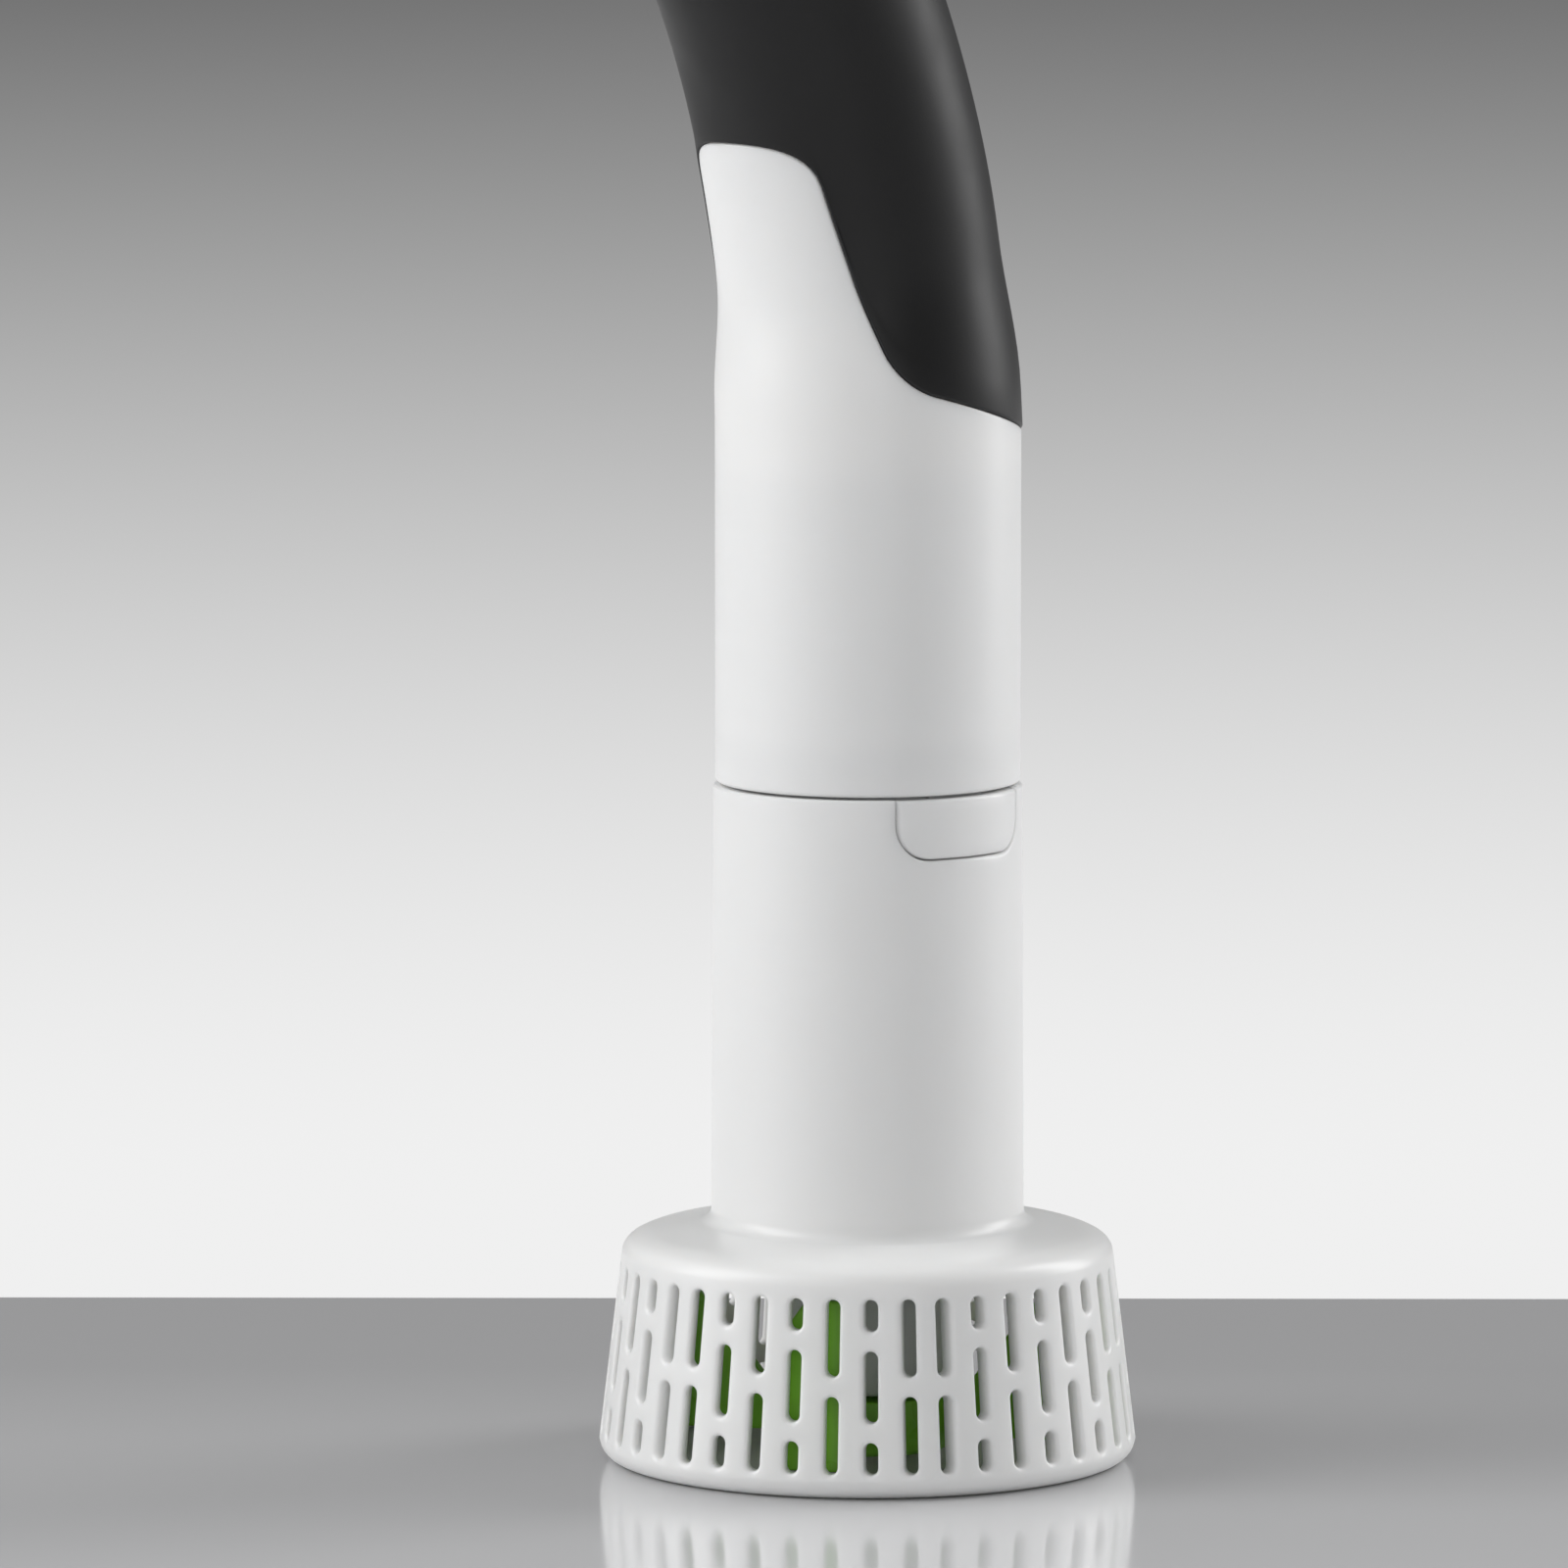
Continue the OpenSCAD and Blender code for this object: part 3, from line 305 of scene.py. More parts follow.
def seam_along(angle):
    """For each angle, the length along the handle where the form crosses the seam, by bisection."""
    outline = seam_outline()[::-1]
    low, high = np.full(angle.shape, -8.0), np.full(angle.shape, 70.0)
    for _ in range(40):
        middle = (low + high) / 2
        p = form_point(angle, middle)
        over = p[..., 2] > np.interp(p[..., 1], outline[:, 0], outline[:, 1])
        low, high = np.where(over, low, middle), np.where(over, middle, high)
    return (low + high) / 2


def seam_columns(count):
    """Angles round the form, spaced half by angle and half by length along the seam, and the seam there."""
    dense = np.linspace(-math.pi / 2, math.pi / 2, 4001)
    p = form_point(dense, seam_along(dense))
    run = np.r_[0, np.cumsum(np.linalg.norm(np.diff(p, axis=0), axis=1))]
    share = 0.5 * run / run[-1] + 0.5 * np.linspace(0, 1, len(dense))
    right = np.interp(np.linspace(0, 1, count // 2 + 1), share, dense)
    angle = np.r_[right, math.pi - right[-2:0:-1]]
    return angle, seam_along(angle)


def seam_edge(angle, seam, upper, radius, lip=0.0):
    """Rolled edge along the seam, from the skin down to the wall's inner side.

    The first row stands back from the seam by the radius and half the gap, on the upper or the lower side.
    """
    points, normals = form_point(angle, seam, lip), form_normal(angle, seam)
    run = unit(np.roll(points, -1, 0) - np.roll(points, 1, 0))
    side = unit(np.cross(normals, run))
    upwards = form_point(angle, seam + 1) - form_point(angle, seam)
    rising = np.sign((side * upwards).sum(-1, keepdims=True))
    away = side * rising * (1 if upper else -1)
    turn = quarter(6)[:, None, None]
    back, down = SEAM_GAP / 2 + radius * (1 - np.sin(turn)), radius * (1 - np.cos(turn))
    roll = points + away * back - normals * down
    depth = (form_r(lean_at(seam)) + lip - CORE_HOLE_R - radius)[:, None]
    return np.concatenate([roll, roll[-1:] - normals * depth])


# ---------------------------------------- foot

TAPER, SLOPE = math.tan(CAGE_TAPER), math.tan(SHOULDER_SLOPE)
TUBE_LOW_R, TUBE_IN_R = TUBE_R + TUBE_FLARE, TUBE_R - TUBE_WALL
CORNER_R = (BASE_R - TAPER * (CAGE_H + SLOPE * TUBE_LOW_R)) / (1 - TAPER * SLOPE)
CORNER_Z = CAGE_H - (CORNER_R - TUBE_LOW_R) * SLOPE
CEILING_DROP = CAGE_WALL / math.cos(SHOULDER_SLOPE)
SLOT_TOP = CORNER_Z - SLOT_MARGIN
LONG_SLOT = (SLOT_TOP - SLOT_LOW - SLOT_GAP) / 2
BAND_LOW, BAND_HIGH = SLOT_LOW - 1.0, SLOT_TOP + 0.9
PER_COLUMN = 8
AROUND = SLOT_COLUMNS * PER_COLUMN
PITCH = 2 * math.pi / SLOT_COLUMNS
SLOT_EDGE, SLOT_EDGE_IN = 0.7, 0.3
SLOT_TURN, TWIST_END = math.radians(1.4), 60.0
SLOT_GROUP, SLOT_DRAW = 7, 0.8


def cage_r(z, depth=0.0):
    """Radius of the cage's cone at z, the depth being measured square to the wall."""
    return BASE_R - z * TAPER - depth / math.cos(CAGE_TAPER)


def slot_outline(low, high, grow, sides, ends):
    """Upright slot as a loop of (x, z): straight sides and half round ends, grown outwards by grow.

    It starts at the lower left and runs up, over, down and back, in step with cell_outline.
    """
    r = SLOT_W / 2
    tip = (ends - PER_COLUMN) // 2
    z = np.linspace(low + r, high - r, sides - 2 * tip + 1)
    arc = np.linspace(0, math.pi, ends + 1)
    over = joined(-(r + grow) * np.cos(arc), high - r + (r + grow) * np.sin(arc))
    under = joined((r + grow) * np.cos(arc), low + r - (r + grow) * np.sin(arc))
    return np.roll(ring(joined(-r - grow, z), over, joined(r + grow, z[::-1]), under), tip, axis=0)


def cell_outline(levels, depth):
    """Edge of a slot's own cell of the wall, as (x, z), in step with slot_outline."""
    half = PITCH / 2
    across = np.linspace(-half, half, PER_COLUMN + 1)
    sides = -np.sin(half) * cage_r(levels, depth)
    top = joined(np.sin(across) * cage_r(levels[-1], depth), levels[-1])
    bottom = joined(np.sin(across[::-1]) * cage_r(levels[0], depth), levels[0])
    return ring(joined(sides, levels), top, joined(-sides[::-1], levels[::-1]), bottom)


def slot_cell(levels, low, high):
    """One slot with the wall round it, as loops of (x, z, depth).

    They run in from the cell's edge, over the rolled rim, through the wall, and out again on the inside.
    """
    sides, ends = len(levels) - 1, PER_COLUMN + 4

    def slot(grow):
        """The slot's outline, grown outwards."""
        return slot_outline(low, high, grow, sides, ends)

    cell = cell_outline(levels, 0)
    loops = [(cell * (1 - t) + slot(SLOT_EDGE) * t, 0) for t in (0, 0.5)]
    loops += [(slot(back), sunk) for back, sunk in edge_roll(SLOT_EDGE, 5)]
    loops += [(slot(sunk), CAGE_WALL - back) for back, sunk in edge_roll(SLOT_EDGE_IN, 3)]
    loops.append((cell_outline(levels, CAGE_WALL), CAGE_WALL))
    return np.array([joined(*outline.T, depth) for outline, depth in loops])


def cage_band():
    """Every slot cell of the cage, on its cone. Columns hold two or three slots, in groups of seven.

    A group's slots run through the wall nearly parallel to its middle column's: as one slide draws them,
    each is shifted sideways by its depth times the tangent of its angle from that column.
    """
    stops = [BAND_LOW, SLOT_LOW + SHORT_SLOT + SLOT_GAP / 2, (SLOT_LOW + SLOT_TOP) / 2,
             SLOT_TOP - SHORT_SLOT - SLOT_GAP / 2, BAND_HIGH]
    step = 8
    levels = np.concatenate([np.linspace(a, b, step, endpoint=False) for a, b in zip(stops, stops[1:])]
                            + [[BAND_HIGH]])
    two = [(0, 2, SLOT_LOW, SLOT_LOW + LONG_SLOT), (2, 4, SLOT_TOP - LONG_SLOT, SLOT_TOP)]
    three = [(0, 1, SLOT_LOW, SLOT_LOW + SHORT_SLOT),
             (1, 3, SLOT_LOW + SHORT_SLOT + SLOT_GAP, SLOT_TOP - SHORT_SLOT - SLOT_GAP),
             (3, 4, SLOT_TOP - SHORT_SLOT, SLOT_TOP)]
    cells = [[slot_cell(levels[a * step:b * step + 1], low, high) for a, b, low, high in pattern]
             for pattern in (two, three)]
    loops = len(cells[0][0])
    drawn = (np.arange(loops) < loops - 1)[:, None]
    for i in range(SLOT_COLUMNS):
        turn = FRONT + (i + 0.5) * PITCH + SLOT_TURN
        lean = SLOT_DRAW * math.tan((i % SLOT_GROUP - SLOT_GROUP // 2) * PITCH)
        for cell in cells[(i % SLOT_GROUP) % 2]:
            z, depth = cell[..., 1], cell[..., 2]
            x = cell[..., 0] + lean * depth * drawn
            out = np.sqrt(cage_r(z, depth) ** 2 - x ** 2)
            yield swung(out, x, z, turn)


TAB_ARC, TAB_H, TAB_ROUND, TAB_SLIT, TAB_EDGE = 30.6, 10.2, 6.0, 0.28, 0.6
TAB_HALF, TAB_LOW, TUBE_CHAMFER = TUBE_R * math.radians(TAB_ARC), JOINT_Z - TAB_H, 0.3
TAB_SIDE, TAB_CORNER, WINDOW_MARGIN, WINDOW_ARC = 6, 8, 4.5, TAB_ARC + 8


def tab_outline(grow, flat_cells, top=JOINT_Z - TUBE_CHAMFER):
    """The release tab's U, open at the top, as (arc, z): down the left side, round, and up the right."""
    half, low, corner = TAB_HALF + grow, TAB_LOW - grow, TAB_ROUND + grow
    straight = np.linspace(top, low + corner, TAB_SIDE + 1)
    arc = quarter(TAB_CORNER + 1)
    left = joined(-half, straight)
    turn = joined(-half + corner * (1 - np.cos(arc)), low + corner * (1 - np.sin(arc)))
    bottom = joined(np.linspace(-half + corner, half - corner, flat_cells + 1), low)
    mirrored = np.concatenate([left, turn[1:]])[::-1] * [-1, 1]
    return np.concatenate([left[:-1], turn[:-1], bottom, mirrored[1:]])


def tube_r(z):
    """Outer radius of the tube: it widens evenly from the joint down to the shoulder."""
    return TUBE_R + TUBE_FLARE * (JOINT_Z - z) / (JOINT_Z - CAGE_H)


def straight_in(angle, outer, r):
    """Angle at radius r of the point straight behind the one at angle on the outer radius."""
    return np.arcsin(np.sin(angle) * outer / r)


def tube_window(columns, levels):
    """The tube's wall round one tab, as rows of (angle, radius, z).

    Rows run in from the block's border, over the rolled edge, through the wall and back out inside. The U is
    open at the top, so each row is carried over the tube's end. columns are angles from the tab's middle.
    """
    left, low = joined(columns[0] * TUBE_R, levels), joined(columns * TUBE_R, levels[-1])
    border = np.concatenate([left[:-1], low, left[::-1][1:] * [-1, 1]])
    flat_cells = len(border) - 1 - 2 * (TAB_SIDE + TAB_CORNER)
    open_u = tab_outline(TAB_SLIT + TAB_EDGE, flat_cells)
    shares = [0, 0.4, 0.75]
    steps = [(border * (1 - t) + open_u * t, 0.0) for t in shares]
    steps += [(tab_outline(TAB_SLIT + back, flat_cells), sunk) for back, sunk in edge_roll(TAB_EDGE, 5)]
    straight = np.array(shares + [1] * (len(steps) - len(shares)))
    steps += [(outline, TUBE_WALL) for outline, _ in reversed(steps)]
    runs = np.array([joined(*outline.T, depth) for outline, depth in steps])
    angle, z, depth = runs[..., 0] / TUBE_R, runs[..., 1], runs[..., 2]
    straight = np.concatenate([straight, straight[::-1]])[:, None]
    radius = np.where(depth >= TUBE_WALL, TUBE_IN_R, tube_r(z) - depth)
    rim = np.minimum(radius, TUBE_R - TUBE_CHAMFER)

    def turn_at(r):
        """Angles at radius r: the cut's sides run straight in, so that the tab can move."""
        return angle * (1 - straight) + straight_in(angle, tube_r(z), r) * straight

    def end(column, r):
        """One end of every row, carried up to the joint."""
        return joined(turn_at(r)[:, column], r[:, column], JOINT_Z)[:, None]

    body, lip = joined(turn_at(radius), radius, z), np.full_like(rim, TUBE_IN_R)
    return np.concatenate([end(0, lip), end(0, rim), body, end(-1, rim), end(-1, lip)], 1)


def foot_shell():
    """Cage, domed shoulder and tube: a revolved outline, with slot cells and tab windows let in."""
    shell = Shell()
    angles = around(AROUND)
    rim_in = cage_r(ROTOR_LOW, CAGE_WALL) - ROTOR_GAP + 0.5
    rim = rounded([(rim_in, RIM_IN_H, 0), (rim_in, 0.0, 0.4), (BASE_R, 0.0, RIM_ROUND),
                   (cage_r(2 * BAND_LOW), 2 * BAND_LOW, 0)], 10)
    rim = rim[(rim[:, 1] < BAND_LOW - 0.05) | (rim[:, 0] == rim_in)]
    under = np.concatenate([[(cage_r(BAND_LOW, CAGE_WALL), BAND_LOW)], rim, [(cage_r(BAND_LOW), BAND_LOW)]])
    shell.grid(turned(under, angles + SLOT_TURN))
    for cell in cage_band():
        shell.grid(cell)
    # shoulder and tube outside, then down the inside, the boss and the ceiling
    window = np.linspace(JOINT_Z - TUBE_CHAMFER, TAB_LOW - WINDOW_MARGIN, 13)
    crown_z = DOME_Z - (CROWN_R - TUBE_LOW_R) * math.tan(CROWN_SLOPE)
    fall = math.tan(FALL_SLOPE)
    edge_z = (crown_z - (BASE_R - CROWN_R) * fall) / (1 - TAPER * fall)
    outer = rounded([(cage_r(BAND_HIGH), BAND_HIGH, 0), (cage_r(edge_z), edge_z, DOME_ROUND),
                     (CROWN_R, crown_z, CROWN_ROUND), (TUBE_LOW_R, DOME_Z, DOME_FOOT_ROUND),
                     (tube_r(TWIST_END), TWIST_END, 0)], 14)
    plain = np.linspace(TWIST_END, window[-1], 4)[1:-1]
    tube = np.r_[plain, window[::-1]]
    outer = np.concatenate([outer, joined(tube_r(tube), tube)])
    ceiling, boss_low, bore = CAGE_H - CEILING_DROP, HUB_TOP + 1, 7.5
    floor, middle_ceiling = ceiling + CAGE_WALL, ceiling - 1
    corner_in = (cage_r(0, CAGE_WALL) - TAPER * (ceiling + SLOPE * TUBE_LOW_R)) / (1 - TAPER * SLOPE)
    inside = rounded([(TUBE_IN_R, 70, 0), (TUBE_IN_R, floor, 2), (bore, floor, 0), (bore, boss_low, 0.4),
                      (HUB_R, boss_low, 1), (HUB_R, middle_ceiling, 3), (TUBE_LOW_R, middle_ceiling, 0),
                      (corner_in, ceiling - (corner_in - TUBE_LOW_R) * SLOPE, SHOULDER_ROUND - 2),
                      (cage_r(BAND_HIGH, CAGE_WALL), BAND_HIGH, 0)], 6)
    top = np.array([(TUBE_R - TUBE_CHAMFER, JOINT_Z), (TUBE_IN_R, JOINT_Z)])
    high = np.concatenate([outer, top, joined(TUBE_IN_R, window), inside])
    first_cut = len(outer) - len(window)
    last_cut = len(outer) + len(top) + len(window) - 1
    keep = np.ones((len(high) - 1, AROUND), bool)
    half = int(round(WINDOW_ARC / 360 * AROUND))
    span = np.arange(-half, half + 1) * PITCH / PER_COLUMN
    for middle in (0, math.pi):
        centre = int(round((middle - FRONT) / (2 * math.pi) * AROUND))
        keep[first_cut:last_cut, (centre + np.arange(-half, half)) % AROUND] = False
        angle, r, z = np.moveaxis(tube_window(span, window), -1, 0)
        shell.grid(polar(r, angle + middle, z), close_columns=False)
    # the slots' turn fades out between the band and the tube, so that the tabs keep their place
    twist = SLOT_TURN * (1 - ease((high[:, 1:] - BAND_HIGH) / (TWIST_END - BAND_HIGH)))
    shell.grid(turned(high, angles + twist), keep=keep)
    return shell.build("foot_shell")


def foot_collar():
    """The collar inside the joint: two revolved arcs, cut off square where the latches' arms pass.

    Its step is drawn back to the collar's own radius behind the tabs, which move in when pressed.
    """
    outer = np.array([(STEP_R, STEP_LOW), (STEP_R, STEP_TOP), (COLLAR_R, STEP_TOP + 0.4),
                      (COLLAR_R, COLLAR_TOP - 0.8), (COLLAR_R - 0.6, COLLAR_TOP)])
    inner = joined(COLLAR_R - COLLAR_WALL, np.linspace(STEP_LOW + 2, COLLAR_TOP, 5))
    free = math.pi / 2 - math.radians(TAB_ARC + 7)
    share = np.linspace(0, 1, 73)
    shell = Shell()
    for middle in (math.pi / 2, -math.pi / 2):
        faces = []
        for r, z in (outer.T, inner.T):
            reach = (math.pi / 2 - np.arcsin((ARM_HALF + SLACK) / r))[:, None]
            angle = middle + reach * (2 * share - 1)
            r = np.where(abs(angle - middle) > free, np.minimum(r[:, None], COLLAR_R), r[:, None])
            faces.append(polar(r, angle, z[:, None]))
        shell.slab(*faces)
    return shell.build("foot_collar", bevel=0.2)


def release_latch(side):
    """A latch: the tab, which carries on the tube's wall inside a rolled edge, and the arm behind it."""
    flat_cells = 22

    def loop(grow, depth):
        """The tab's outline, grown outwards, at a depth below the tube's skin."""
        top = JOINT_Z - 0.1 + grow
        open_u = tab_outline(grow, flat_cells, top)
        flat = open_u[TAB_SIDE + TAB_CORNER:-(TAB_SIDE + TAB_CORNER)]
        outline = np.concatenate([open_u, joined(flat[::-1, 0], top)])
        return joined(*outline.T, depth)

    def drawn_in(edge, t):
        """The loop drawn in by t towards a level line in its middle."""
        reach = TAB_HALF - TAB_ROUND
        line = joined(np.clip(edge[:, 0], -reach, reach), JOINT_Z - TAB_H / 2, edge[:, 2])
        return edge * (1 - t) + line * t

    back = loop(0, TUBE_WALL - 0.2)
    rows = [drawn_in(back, t) for t in (1, 0.5)] + [back]
    rows += [loop(-sunk, back) for back, sunk in edge_roll(TAB_EDGE, 5)]
    rows += [drawn_in(rows[-1], t) for t in (0.3, 0.65, 1)]
    arc, z, depth = np.moveaxis(np.array(rows), -1, 0)
    radius = tube_r(z) - depth
    angle = straight_in(arc / TUBE_R, tube_r(z), radius)
    shell = Shell().grid(polar(radius, angle, z) * [side, 1, 1])
    nose_z = JOINT_Z + 6
    arm = np.array([
        (LATCH_PIVOT_R - 2.4, LATCH_PIVOT_Z - 2.4), (LATCH_PIVOT_R + 1.4, LATCH_PIVOT_Z - 2.4),
        (LATCH_PIVOT_R + 1.4, TAB_LOW + 0.6), (TUBE_IN_R, TAB_LOW + 2), (TUBE_IN_R, JOINT_Z - 1.5),
        (COLLAR_R - 0.6, JOINT_Z - 0.4), (COLLAR_R - 0.6, nose_z - 2), (SKIRT_R - 0.9, nose_z - 1.6),
        (SKIRT_R - 0.9, nose_z - 0.6), (COLLAR_R - 1.2, nose_z + 2.4), (COLLAR_R - 2.4, nose_z + 2.4),
        (COLLAR_R - 2.4, TAB_LOW + 2), (LATCH_PIVOT_R - 2.4, TAB_LOW - 1)])
    shell.prism(np.array([joined(side * arm[:, 0], y, arm[:, 1]) for y in (-ARM_HALF, ARM_HALF)]))
    return shell.build("latch_right_shell" if side > 0 else "latch_left_shell", bevel=0.25)


# ---------------------------------------- rotor

PADDLE_TOP = SLOT_TOP - 1


def rotor_shell():
    """Revolved hub, four upright webs, and four paddles on the cage's cone with a leading corner cut away."""
    shell = Shell()
    shaft_low, seat_top = HUB_TOP - 1.1, HUB_LOW + 2.6
    hub = rounded([(SEAT_R, HUB_LOW, 0.4), (HUB_R, HUB_LOW, 1.5), (HUB_R, HUB_TOP, 0.4),
                   (SHAFT_R, HUB_TOP, 0), (SHAFT_R, shaft_low, 0), (SCREW_R, shaft_low, 0),
                   (SCREW_R, seat_top, 0), (SEAT_R, seat_top, 0)], 5)
    shell.grid(turned(hub, around(96)), close_rows=True)
    foot_r = cage_r(ROTOR_LOW, CAGE_WALL) - ROTOR_GAP
    tip_r = cage_r(PADDLE_TOP, CAGE_WALL) - ROTOR_GAP
    web = rounded([(HUB_R - 3, ROTOR_LOW, 0), (foot_r - PADDLE_T / 2, ROTOR_LOW, 0),
                   (tip_r - PADDLE_T / 2, PADDLE_TOP - 0.5, 0), (tip_r - 4.5, PADDLE_TOP - 0.5, 2),
                   (HUB_R + 1.4, HUB_TOP, 2), (HUB_R - 3, HUB_TOP - 0.4, 0)], 6)
    z = np.linspace(ROTOR_LOW, PADDLE_TOP, 25)[:, None]
    half = math.radians(PADDLE_ARC / 2)
    for paddle in range(4):
        turn = math.radians(ROTOR_TURN + 90 * paddle)
        shell.prism(np.array([swung(web[:, 0], y, web[:, 1], turn) for y in (-WEB_T / 2, WEB_T / 2)]))
        faces = []
        for depth in (0, PADDLE_T):
            r = cage_r(z, CAGE_WALL) - ROTOR_GAP - depth
            cut = -CUT_H + (z - PADDLE_TOP + CUT_H) * CUT_SLOPE
            start = np.maximum(-half, np.arcsin(cut / r))
            angle = turn + start + (half - start) * np.linspace(0, 1, 17)
            faces.append(polar(r, angle, z))
        shell.slab(*faces)
    return shell.build("rotor_shell", bevel=0.4)


# ---------------------------------------- motor unit

COLUMNS = 160
SEAM_ROLL, JOINT_ROLL, GRIP_LIP, END_ROLL = 0.45, 0.7, 0.22, 0.4
SOCKET_TOP, STOP_TOP, GROOVE_R, GROOVE_LOW, GROOVE_TOP = 169.5, 128.0, 24.2, 119.8, 124.8


def housing_shell():
    """White housing: the form from the joint up to the seam, rolled at both edges, and its inner wall.

    Below start the rows are level circles, and above it they share out the way to the seam.
    """
    angle, seam = seam_columns(COLUMNS)
    bottom = JOINT_Z + JOINT_GAP
    low, start, inner_start = bottom - BEND_Z, -20.0, SOCKET_TOP - BEND_Z
    edge = seam_edge(angle, seam, False, SEAM_ROLL)
    rows = [bent(angle, low + back, SLEEVE_R - sunk) for back, sunk in edge_roll(JOINT_ROLL, 6)][::-1]
    rows += [bent(angle, s, SLEEVE_R) for s in np.linspace(low + JOINT_ROLL, start, 8)[1:]]
    rows += [form_point(angle, start + (seam - start) * t) for t in np.linspace(0, 1, 34)[1:-2]]
    rows += list(edge)
    rows += [bent(angle, inner_start + (seam - inner_start) * t, CORE_HOLE_R)
             for t in (0.75, 0.6, 0.45, 0.3, 0.15, 0)]
    inner = [(SLEEVE_IN_R, SOCKET_TOP), (SLEEVE_IN_R, STOP_TOP), (SKIRT_R, STOP_TOP), (SKIRT_R, GROOVE_TOP),
             (GROOVE_R, GROOVE_TOP), (GROOVE_R, GROOVE_LOW), (SKIRT_R, GROOVE_LOW), (SKIRT_R, bottom + 0.3),
             (SKIRT_R + 0.3, bottom)]
    rows += [bent(angle, z - BEND_Z, r) for r, z in inner]
    return Shell().grid(np.array(rows), close_rows=True).build("housing_shell")


def through_grip(u, v, r):
    """Where a line along the trigger's travel meets a tube of radius r round the bent centre line.

    u is the distance across and v the distance along from the trigger's middle.
    """
    deep = np.sqrt(r ** 2 - u ** 2)
    rho = BEND_R - deep
    along = BEND_R * (math.radians(TRIGGER_AT) + np.arcsin(v / rho))
    return bent(np.arctan2(-deep, u), along, r)


HOLE_EDGE, HOLE_PART = 0.5, 8


def hole_patch(angle, along, outside):
    """The grip's skin round the trigger's opening, as rows from the block's border inwards.

    outside says whether it is the outer skin, which rolls into the opening, or the plain inner one.
    """
    r = GRIP_R if outside else CORE_HOLE_R
    turned_on = np.radians(TRIGGER_AT)
    u = r * np.cos(angle)
    border = block_border(u, along)
    border_deep = np.sqrt(r ** 2 - border[:, 0] ** 2)
    border[:, 1] = (BEND_R - border_deep) * np.sin(border[:, 1] / BEND_R - turned_on)
    across, rows = len(u) - 1, len(along) - 1

    def opening(grow):
        """The opening's outline, grown outwards."""
        return frame_loop(TRIGGER_W, TRIGGER_L, TRIGGER_ROUND, across, rows, HOLE_PART, SLACK + grow)

    edge = opening(HOLE_EDGE if outside else 0)
    loops = [(border * (1 - t) + edge * t, r) for t in (0, 0.35, 0.7, 0.9, 1)]
    if outside:
        loops += [(opening(back), r - sunk) for back, sunk in edge_roll(HOLE_EDGE, 6)[1:]]
    return np.array([through_grip(*loop.T, radius) for loop, radius in loops])


def grip_shell():
    """Soft grip: the form from the seam to the handle's end, with the trigger's opening let in.

    At the seam it stands proud by a lip that falls off as a bell curve along the handle.
    """
    angle, seam = seam_columns(COLUMNS)
    end = BEND_R * math.radians(BEND_END) - 0.05
    middle = BEND_R * math.radians(TRIGGER_AT)
    block = np.linspace(middle - 22, middle + 24, 24)
    start = block[0] - 3.5
    edge = seam_edge(angle, seam, True, SEAM_ROLL, GRIP_LIP)
    outer = []
    for t in np.linspace(0, 1, 30)[2:]:
        along = seam + (start - seam) * t
        outer.append(form_point(angle, along, GRIP_LIP * np.exp(-((along - seam) / 4) ** 2)))
    plain = np.r_[block, np.linspace(block[-1], end - END_ROLL, 18)[1:]]
    outer += [form_point(angle, s + 0 * angle) for s in plain]
    outer += [bent(angle, end - back, GRIP_R - sunk) for back, sunk in edge_roll(END_ROLL, 5)[1:]]
    inner = [bent(angle, s + 0 * angle, CORE_HOLE_R) for s in np.r_[end, plain[:-1][::-1]]]
    inner += [bent(angle, seam + (start - seam) * t, CORE_HOLE_R) for t in np.linspace(0, 1, 12)[:1:-1]]
    rows = list(edge[::-1]) + outer + inner
    shell = Shell()
    keep = np.ones((len(rows), COLUMNS), bool)
    side = int(np.searchsorted(angle[:COLUMNS // 2], FRONT + math.radians(30)))
    columns = np.arange(-side, side + 1)
    first = len(edge) + len(outer) - 4 - len(plain)
    first_in = len(edge) + len(outer) + len(plain) - len(block)
    for low, outside in ((first, True), (first_in, False)):
        keep[low:low + len(block) - 1, columns[:-1] % COLUMNS] = False
        turn = angle[columns % COLUMNS]
        turn = np.where(turn > math.pi, turn - 2 * math.pi, turn)
        shell.grid(hole_patch(turn, block, outside))
    loop = frame_loop(TRIGGER_W, TRIGGER_L, TRIGGER_ROUND, 2 * side, len(block) - 1, HOLE_PART, SLACK)
    wall = [through_grip(*loop.T, r) for r in (GRIP_R - HOLE_EDGE, CORE_HOLE_R)]
    shell.grid(np.array(wall))
    shell.grid(np.array(rows), close_rows=True, keep=keep)
    return shell.build("grip_shell")


def trigger_pad():
    """The trigger: follows the handle's curve at a larger radius, with a rolled edge and lips inside."""
    across, rows, part, roll = 24, 40, 6, 1.5
    outer_r, inner_r, reach = GRIP_R + TRIGGER_OUT, CORE_IN_R - 2.2, TRIGGER_L / 2 - TRIGGER_ROUND

    def loop(grow, longer=0.0):
        """The trigger's outline, grown outwards and then longer at both ends."""
        return frame_loop(TRIGGER_W, TRIGGER_L + 2 * longer, TRIGGER_ROUND, across, rows, part, grow)

    def drawn_in(edge, t):
        """The loop drawn in by t towards a line along its middle."""
        return edge * (1 - t) + joined(0, np.clip(edge[:, 1], -reach, reach)) * t

    wide = loop(0, 2.4)
    steps = [(drawn_in(wide, t), inner_r) for t in (1, 0.5, 0)]
    steps += [(wide, CORE_IN_R - SLACK), (loop(0), CORE_IN_R - SLACK)]
    steps += [(loop(-sunk), outer_r - back) for back, sunk in edge_roll(roll, 8)]
    steps += [(drawn_in(steps[-1][0], t), outer_r) for t in (0.25, 0.5, 0.75, 1)]
    points = np.array([through_grip(*edge.T, r) for edge, r in steps])
    return Shell().grid(points).build("trigger_pad")


